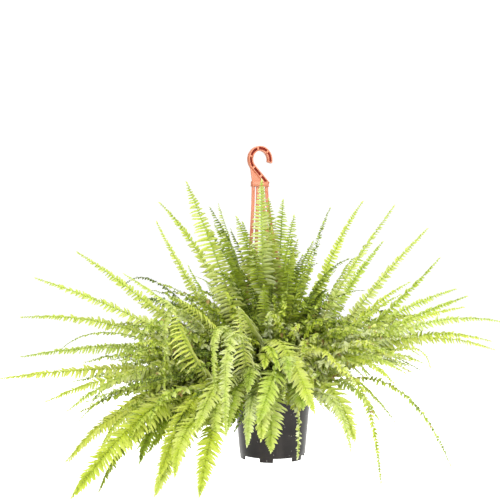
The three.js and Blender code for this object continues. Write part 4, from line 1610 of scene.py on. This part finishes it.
    def _strap(self, number: int) -> None:
        """Builds one strap: a channelled band and the clip at its foot.

        Args:
            number: Which strap, from the left.
        """
        away = outward(self.strap_bearings[number])
        across = sideways(self.strap_bearings[number])
        place = (number - (len(self.strap_bearings) - 1) / 2) * self.strap_pitch
        start = self.right * place + UP * (self.collar_top - self.collar_height - self.fit)
        end = self.rim + away * (self.rim_radius + self.clip_gap + self.strap_thickness / 2)
        end = end + UP * self.clip_height
        knee_high = start - UP * self.strap_drop
        knee_low = end + UP * self.strap_drop - away * (self.strap_drop * self.strap_slant)
        top_across = self.right if self.right.dot(across) > 0 else -self.right
        stations, depths = [], []
        for step in range(self.strap_steps + 1):
            share = step / self.strap_steps
            rest = 1 - share
            point = start * rest**3 + knee_high * (3 * rest * rest * share)
            point = point + knee_low * (3 * rest * share * share) + end * share**3
            along = (knee_high - start) * rest * rest + (knee_low - knee_high) * 2 * rest * share
            along = (along + (end - knee_low) * share * share).normalized()
            wide = squared(top_across.lerp(across, min(1.0, share / self.strap_twist)), along)
            depths.append(wide.cross(along))
            size = (self.strap_width, self.strap_thickness)
            stations.append(self._station(wide, depths[-1], size, point))
        bm = bmesh.new()
        sweep(bm, stations, 4, math.pi / 4)
        step_of = bm.faces.layers.int["step"]
        for way in (1, -1):
            middle = [f for f in bm.faces if 1 < f[step_of] < self.strap_steps]
            outer = [f for f in middle if f.normal.dot(depths[f[step_of]]) * way > SAME_WAY]
            self._hollow(bm, outer, self.strap_rail, self.strap_hollow)
        bevel_sharp(bm, 60, 0.3 * MM)
        self._clip(bm, away, across)
        node = f"hanger_strap_{number + 1}"
        make_piece(f"{node}_moulding", bm, [self.plastic], node)

    def _clip(self, bm: Mesh, away: Vector, across: Vector) -> None:
        """Adds the clip that goes down outside the pot's lip, with a toe under it.

        Args:
            bm: The strap's mesh.
            away: Outward direction at the strap.
            across: Level direction along the rim.
        """
        inside = self.rim_radius + self.clip_gap
        outside = inside + self.strap_thickness
        toe = outside - self.clip_toe
        high = self.clip_height + 0.6 * MM
        low = -self.lip - self.fit
        foot = low - self.clip_thickness
        outline = [(inside, high), (outside, high), (outside, foot), (toe, foot), (toe, low), (inside, low)]
        side = across * (self.strap_width / 2)
        corners = [self.rim + away * x + UP * z - side for x, z in outline]
        add_plate(bm, corners, side * 2, 0.35 * MM)


# ---- Pot and soil --------------------------------------------------------------------------


@dataclass
class Pot:
    """The thin moulded nursery pot: rolled lip, tapered wall, drained floor and six feet."""

    plastic: Material
    lip: float = 6 * MM
    lip_overhang: float = 2.5 * MM
    wall: float = 1.6 * MM
    foot_radius: float = 62 * MM
    foot_height: float = 7.5 * MM
    foot_wall: float = 3 * MM
    foot_count: int = 6
    foot_span: float = 24.0
    first_foot: float = 258.0
    drain_radius: float = 5 * MM
    drain_circle: float = 40 * MM
    steps: int = 90
    rings: int = 8  # of the wall, between foot and lip
    draft: float = 0.3 * MM  # how far the feet draw in

    def build(self) -> None:
        """Builds the pot's piece."""
        rim, self.rim_radius, height = top_of("pot")
        self.rim_z = rim.z
        self.floor_z = rim.z - height + self.foot_height
        self.bearings = [self.first_foot + i * 360 / self.foot_count for i in range(self.foot_count)]
        bm = bmesh.new()
        lathe(bm, self._profile(), self.steps, outward(180 / self.steps))
        self._feet(bm)
        self._drains(bm)
        bmesh.ops.translate(bm, vec=(rim.x, rim.y, 0), verts=bm.verts)
        bevel_sharp(bm, 60, 0.3 * MM)
        make_piece("pot_shell", bm, [self.plastic], "pot")

    def _profile(self) -> list[tuple[float, float]]:
        """Draws the section of the shell, from the middle of the underside out, up and back in.

        Returns:
            Its corners as radii and heights.
        """
        band_foot = self.rim_z - self.lip
        wall_top = self.rim_radius - self.lip_overhang
        wall_foot = self.foot_radius + (wall_top - self.foot_radius) * 0.07
        inner = wall_top - self.wall
        outside = [
            (wall_foot - self.foot_wall, self.floor_z),
            (wall_foot - 0.5 * MM, self.floor_z),
            (wall_foot + 0.1 * MM, self.floor_z + 0.6 * MM),
        ]
        for ring in range(1, self.rings + 1):
            share = ring / self.rings
            radius = wall_foot + (wall_top - wall_foot) * share
            outside.append((radius, self.floor_z + (band_foot - self.floor_z) * share))
        lip = [
            (self.rim_radius - 0.5 * MM, band_foot),
            (self.rim_radius, band_foot + 0.5 * MM),
            (self.rim_radius, self.rim_z - 0.9 * MM),
            (self.rim_radius - 0.3 * MM, self.rim_z - 0.25 * MM),
            (self.rim_radius - 0.9 * MM, self.rim_z),
            (inner + 0.8 * MM, self.rim_z),
            (inner + 0.2 * MM, self.rim_z - 0.3 * MM),
            (inner, self.rim_z - 0.9 * MM),
            (inner, band_foot),
        ]
        floor_top = self.floor_z + self.wall
        inside = [(wall_foot - self.wall - 0.2 * MM, floor_top + 1.2 * MM), (wall_foot - 3 * MM, floor_top)]
        half = self.drain_radius
        ring = [self.drain_circle + half, self.drain_circle, self.drain_circle - half]
        return [
            (0, self.floor_z), *[(r, self.floor_z) for r in reversed(ring)],
            *outside, *lip, *inside, *[(r, floor_top) for r in ring], (0, floor_top),
        ]

    def _chosen(self, bm: Mesh, bearing: float, half_span: float, low: float, high: float) -> Faces:
        """Finds the floor's level faces in a sector, of its top and its underside.

        Args:
            bm: The pot's mesh.
            bearing: Middle of the sector.
            half_span: Half of its span in degrees.
            low: Least radius of a face's middle.
            high: Greatest radius of it.

        Returns:
            The faces.
        """
        found = []
        for face in bm.faces:
            middle = face.calc_center_median()
            turn = (math.degrees(math.atan2(middle.y, middle.x)) - bearing + 180) % 360 - 180
            level = abs(face.normal.z) > SAME_WAY and middle.z < self.floor_z + 2 * self.wall
            if level and abs(turn) < half_span and low < middle.xy.length < high:
                found.append(face)
        return found

    def _feet(self, bm: Mesh) -> None:
        """Draws the feet down out of the outer ring of the floor.

        Args:
            bm: The pot's mesh.
        """
        for bearing in self.bearings:
            inner = self.foot_radius - self.foot_wall
            ring = self._chosen(bm, bearing, self.foot_span / 2, inner, self.foot_radius)
            verts, _ = push_out(bm, [face for face in ring if face.normal.z < 0], keep=False)
            bmesh.ops.translate(bm, vec=-UP * self.foot_height, verts=verts)
            shrink = self.foot_radius / (self.foot_radius + self.draft)
            bmesh.ops.scale(bm, vec=(shrink, shrink, 1), verts=verts)

    def _drains(self, bm: Mesh) -> None:
        """Cuts the round drain holes through the floor.

        Args:
            bm: The pot's mesh.
        """
        low, high = self.drain_circle - self.drain_radius, self.drain_circle + self.drain_radius
        half_span = math.degrees(self.drain_radius / self.drain_circle)
        for bearing in self.bearings:
            faces = self._chosen(bm, bearing, half_span, low, high)
            middle = outward(bearing) * self.drain_circle
            rim = {v for f in faces for v in f.verts}
            bmesh.ops.delete(bm, geom=faces, context="FACES")
            rim = [v for v in rim if v.is_valid and v.is_boundary]
            for vert in rim:
                offset = Vector((vert.co.x - middle.x, vert.co.y - middle.y, 0))
                offset = offset.normalized() * self.drain_radius
                vert.co = Vector((middle.x + offset.x, middle.y + offset.y, vert.co.z))
            edges = [e for e in bm.edges if e.is_boundary and all(v in rim for v in e.verts)]
            bmesh.ops.bridge_loops(bm, edges=edges)


@dataclass
class Soil:
    """The peat in the pot: a rough top with crumbs, pale grit and old cut stalks."""

    peat: Material
    grit: Material
    stalk: Material
    rings: tuple[float, ...] = (0.0, 0.12, 0.24, 0.36, 0.48, 0.6, 0.7, 0.8, 0.88, 0.94, 0.985)
    steps: int = 64
    crown: float = 2.5  # how much higher the middle is, in millimetres
    roughness: float = 2.2  # greatest height of the lumps, in millimetres
    crumbs: int = 420
    grit_every: int = 9  # one crumb in so many is pale grit
    stubs: int = 46
    seed: int = 3

    def build(self) -> None:
        """Builds the peat with its crumbs, and the stubs."""
        self.axis, self.radius, self.depth = top_of("soil")
        self._peat()
        self._stubs()

    def _top(self, x: float, y: float) -> float:
        """Works out the rough top of the soil, a little crowned.

        Args:
            x: Place from the middle.
            y: Place from the middle.

        Returns:
            Height over the soil's level.
        """
        level = math.hypot(x, y) / self.radius
        rough = noise.fractal(Vector((x, y, 0.3)) * 90, 1.0, 2.0, 4)
        return (self.crown * (1 - level**2) + self.roughness * rough) * MM

    def _peat(self) -> None:
        """Builds the body of the soil and scatters crumbs over it."""
        bm = bmesh.new()
        outline = [(share * self.radius, 0.0) for share in self.rings]
        outline += [(self.radius, -3 * MM), (self.radius * 0.86, -self.depth), (0, -self.depth)]
        lathe(bm, outline, self.steps, outward(0))
        for vert in bm.verts:
            if vert.co.z > -1 * MM:
                vert.co.z += self._top(vert.co.x, vert.co.y)
        rng = random.Random(self.seed)
        for number in range(self.crumbs):
            bearing, level = rng.uniform(0, 360), math.sqrt(rng.random()) * 0.95
            spot = outward(bearing) * (self.radius * level)
            size = rng.uniform(0.8, 2.6) * MM
            spot.z = self._top(spot.x, spot.y) + size * 0.2
            crumb = bmesh.new()
            bmesh.ops.create_icosphere(crumb, subdivisions=1, radius=size)
            for vert in crumb.verts:
                vert.co *= rng.uniform(0.7, 1.25)
            bmesh.ops.scale(crumb, vec=(1, rng.uniform(0.6, 1), rng.uniform(0.5, 0.9)), verts=crumb.verts)
            turn = Matrix.Rotation(rng.uniform(0, math.tau), 4, "Z")
            bmesh.ops.transform(crumb, matrix=Matrix.Translation(spot) @ turn, verts=crumb.verts)
            for face in crumb.faces:
                face.material_index = 0 if number % self.grit_every else 1
            merge_into(bm, crumb)
        bmesh.ops.translate(bm, vec=self.axis, verts=bm.verts)
        make_piece("soil_peat", bm, [self.peat, self.grit], "soil", flat=True)

    def _stubs(self) -> None:
        """Builds the short brown feet of old fronds, crowded in the middle of the soil."""
        rng = random.Random(self.seed + 1)
        bm = bmesh.new()
        for _ in range(self.stubs):
            bearing, level = rng.uniform(0, 360), rng.uniform(4, 52) * MM
            spot = outward(bearing) * level
            spot.z = self._top(spot.x, spot.y) - 2 * MM
            height = rng.uniform(10, 34) * MM
            lean = outward(bearing + rng.uniform(-40, 40)) * height * rng.uniform(0.05, 0.45)
            top = spot + UP * height + lean
            axis = (top - spot).normalized()
            side = axis.orthogonal().normalized()
            radius = rng.uniform(1.0, 1.9) * MM
            stub = bmesh.new()
            stations = [
                basis(side * radius * size, side.cross(axis) * -radius * size, axis, spot.lerp(top, share))
                for share, size in ((0, 1.3), (0.4, 1.0), (0.9, 0.8), (1.0, 0.45))
            ]
            sweep(stub, stations, 7)
            merge_into(bm, stub)
        bmesh.ops.translate(bm, vec=self.axis, verts=bm.verts)
        tone = bm.loops.layers.uv.new("Tone")
        for face in bm.faces:
            for loop in face.loops:
                loop[tone].uv = (0.2, 0.02)
        make_piece("crown_stubs", bm, [self.stalk])


# ---- Studio --------------------------------------------------------------------------------


@dataclass
class Studio:
    """Camera, soft lights, white surroundings and a pale floor."""

    camera_place: tuple[float, float, float] = (-0.019, -1.93, -0.1916)
    lens: float = 72.2
    aim: tuple[float, float, float] = (0, 0, -0.32)  # what the lights look at
    seen: tuple[Colour, float] = ((1, 1, 1), 1.05)  # the surroundings' colour and strength
    soft: tuple[Colour, float] = ((1, 1, 0.96), 0.36)  # and the same as a light
    floor_z: float = -0.70
    floor_size: float = 14.0

    def build(self) -> None:
        """Builds the whole studio."""
        self._camera()
        self._world()
        self._lights()
        self._floor()

    def _camera(self) -> None:
        """Makes the camera, level and looking along +Y."""
        data = bpy.data.cameras.new("camera")
        data.lens = self.lens
        data.clip_start = 0.01
        camera = add_object("camera", data)
        camera.location = self.camera_place
        camera.rotation_euler = (math.pi / 2, 0, 0)
        bpy.context.scene.camera = camera

    def _world(self) -> None:
        """Makes the surroundings white to the camera and softer as a light."""
        scene = bpy.context.scene
        world = bpy.data.worlds.new("white_room")
        scene.world = world
        world.use_nodes = True
        world.node_tree.nodes.clear()
        graph = Graph(world.node_tree)
        soft, seen = (
            graph.node("Background", {"Color": (*colour, 1), "Strength": strength}).outputs[0]
            for colour, strength in (self.soft, self.seen)
        )
        by_camera = graph.node("LightPath").outputs["Is Camera Ray"]
        chosen = graph.node("MixShader", {0: by_camera, 1: soft, 2: seen}).outputs[0]
        graph.finish(chosen, "OutputWorld")
        scene.view_settings.view_transform = "Standard"
        scene.view_settings.look = "None"
        scene.view_settings.exposure = 0.0

    def _lights(self) -> None:
        """Makes the soft boxes: key at the upper left, fill at the right, one above, one behind."""
        boxes = [  # name, place, size, power and colour
            ("key", (-0.7, -2.3, 1.1), 0.9, 58.0, (1.0, 0.99, 0.95)),
            ("fill", (1.8, -1.7, 0.4), 1.2, 46.0, (1.0, 1.0, 0.98)),
            ("top", (0.2, 0.0, 1.7), 1.3, 40.0, (1.0, 0.99, 0.94)),
            ("back", (-0.6, 2.2, 0.6), 1.8, 26.0, (1.0, 1.0, 0.97)),
        ]
        for name, place, size, power, colour in boxes:
            data = bpy.data.lights.new(name, "AREA")
            data.shape = "SQUARE"
            data.size = size
            data.energy = power
            data.color = colour
            light = add_object(name, data)
            light.location = place
            way = Vector(self.aim) - Vector(place)
            light.rotation_euler = way.to_track_quat("-Z", "Y").to_euler()

    def _floor(self) -> None:
        """Makes the pale floor below the plant."""
        bm = bmesh.new()
        bmesh.ops.create_grid(bm, x_segments=2, y_segments=2, size=self.floor_size / 2)
        bmesh.ops.translate(bm, vec=UP * self.floor_z, verts=bm.verts)
        mesh = closed("floor", bm)
        mesh.materials.append(PaperFinish().build())
        add_object("floor", mesh)


def build_hanger(groups: Groups) -> None:
    """Builds the hanger in its own plastic.

    Args:
        groups: The shared node groups.
    """
    plastic = PlasticFinish(
        name="hanger_plastic",
        base=(0.600, 0.245, 0.138),
        shade=(0.570, 0.200, 0.105),
        rubbed=(0.760, 0.440, 0.300),
        dust=(0.820, 0.600, 0.460),
        roughness=0.38,
        glow=(0.740, 0.290, 0.150),
        streak_strength=0.30,
        speck_strength=0.3,
    ).build(groups)
    # dark red painted shade for the sunk floors of the hook's hollows
    painted_pocket_shade = PlasticFinish(
        name="hanger_painted_pocket_shade",
        base=(0.170, 0.008, 0.002),
        shade=(0.130, 0.006, 0.002),
        rubbed=(0.260, 0.030, 0.012),
        dust=(0.330, 0.090, 0.050),
        roughness=0.55,
        streak_strength=0.20,
        speck_strength=0.2,
        gloss=0.15,
    ).build(groups)
    Hanger(plastic, painted_pocket_shade).build()


def build_pot(groups: Groups, stalk: Material) -> None:
    """Builds the pot and the soil in it.

    Args:
        groups: The shared node groups.
        stalk: Material of the old frond feet in the soil.
    """
    plastic = PlasticFinish(
        name="pot_plastic",
        base=(0.008, 0.006, 0.006),
        shade=(0.024, 0.019, 0.019),
        rubbed=(0.085, 0.076, 0.070),
        dust=(0.420, 0.400, 0.380),
        roughness=0.30,
        gloss=0.20,
    ).build(groups)
    grit = SoilFinish(name="grit", dark=(0.32, 0.29, 0.25), light=(0.62, 0.59, 0.54)).build(groups)
    Pot(plastic).build()
    Soil(SoilFinish().build(groups), grit, stalk).build()


def main() -> None:
    """Builds the studio and then the part, piece by piece."""
    logging.basicConfig(level=logging.INFO, format="%(message)s")
    Studio().build()
    groups = Groups()
    stalk = StalkFinish().build(groups)
    build_hanger(groups)
    build_pot(groups, stalk)
    Crown(Foliage(LeafFinish().build(), stalk)).build()


if __name__ == "__main__":
    main()
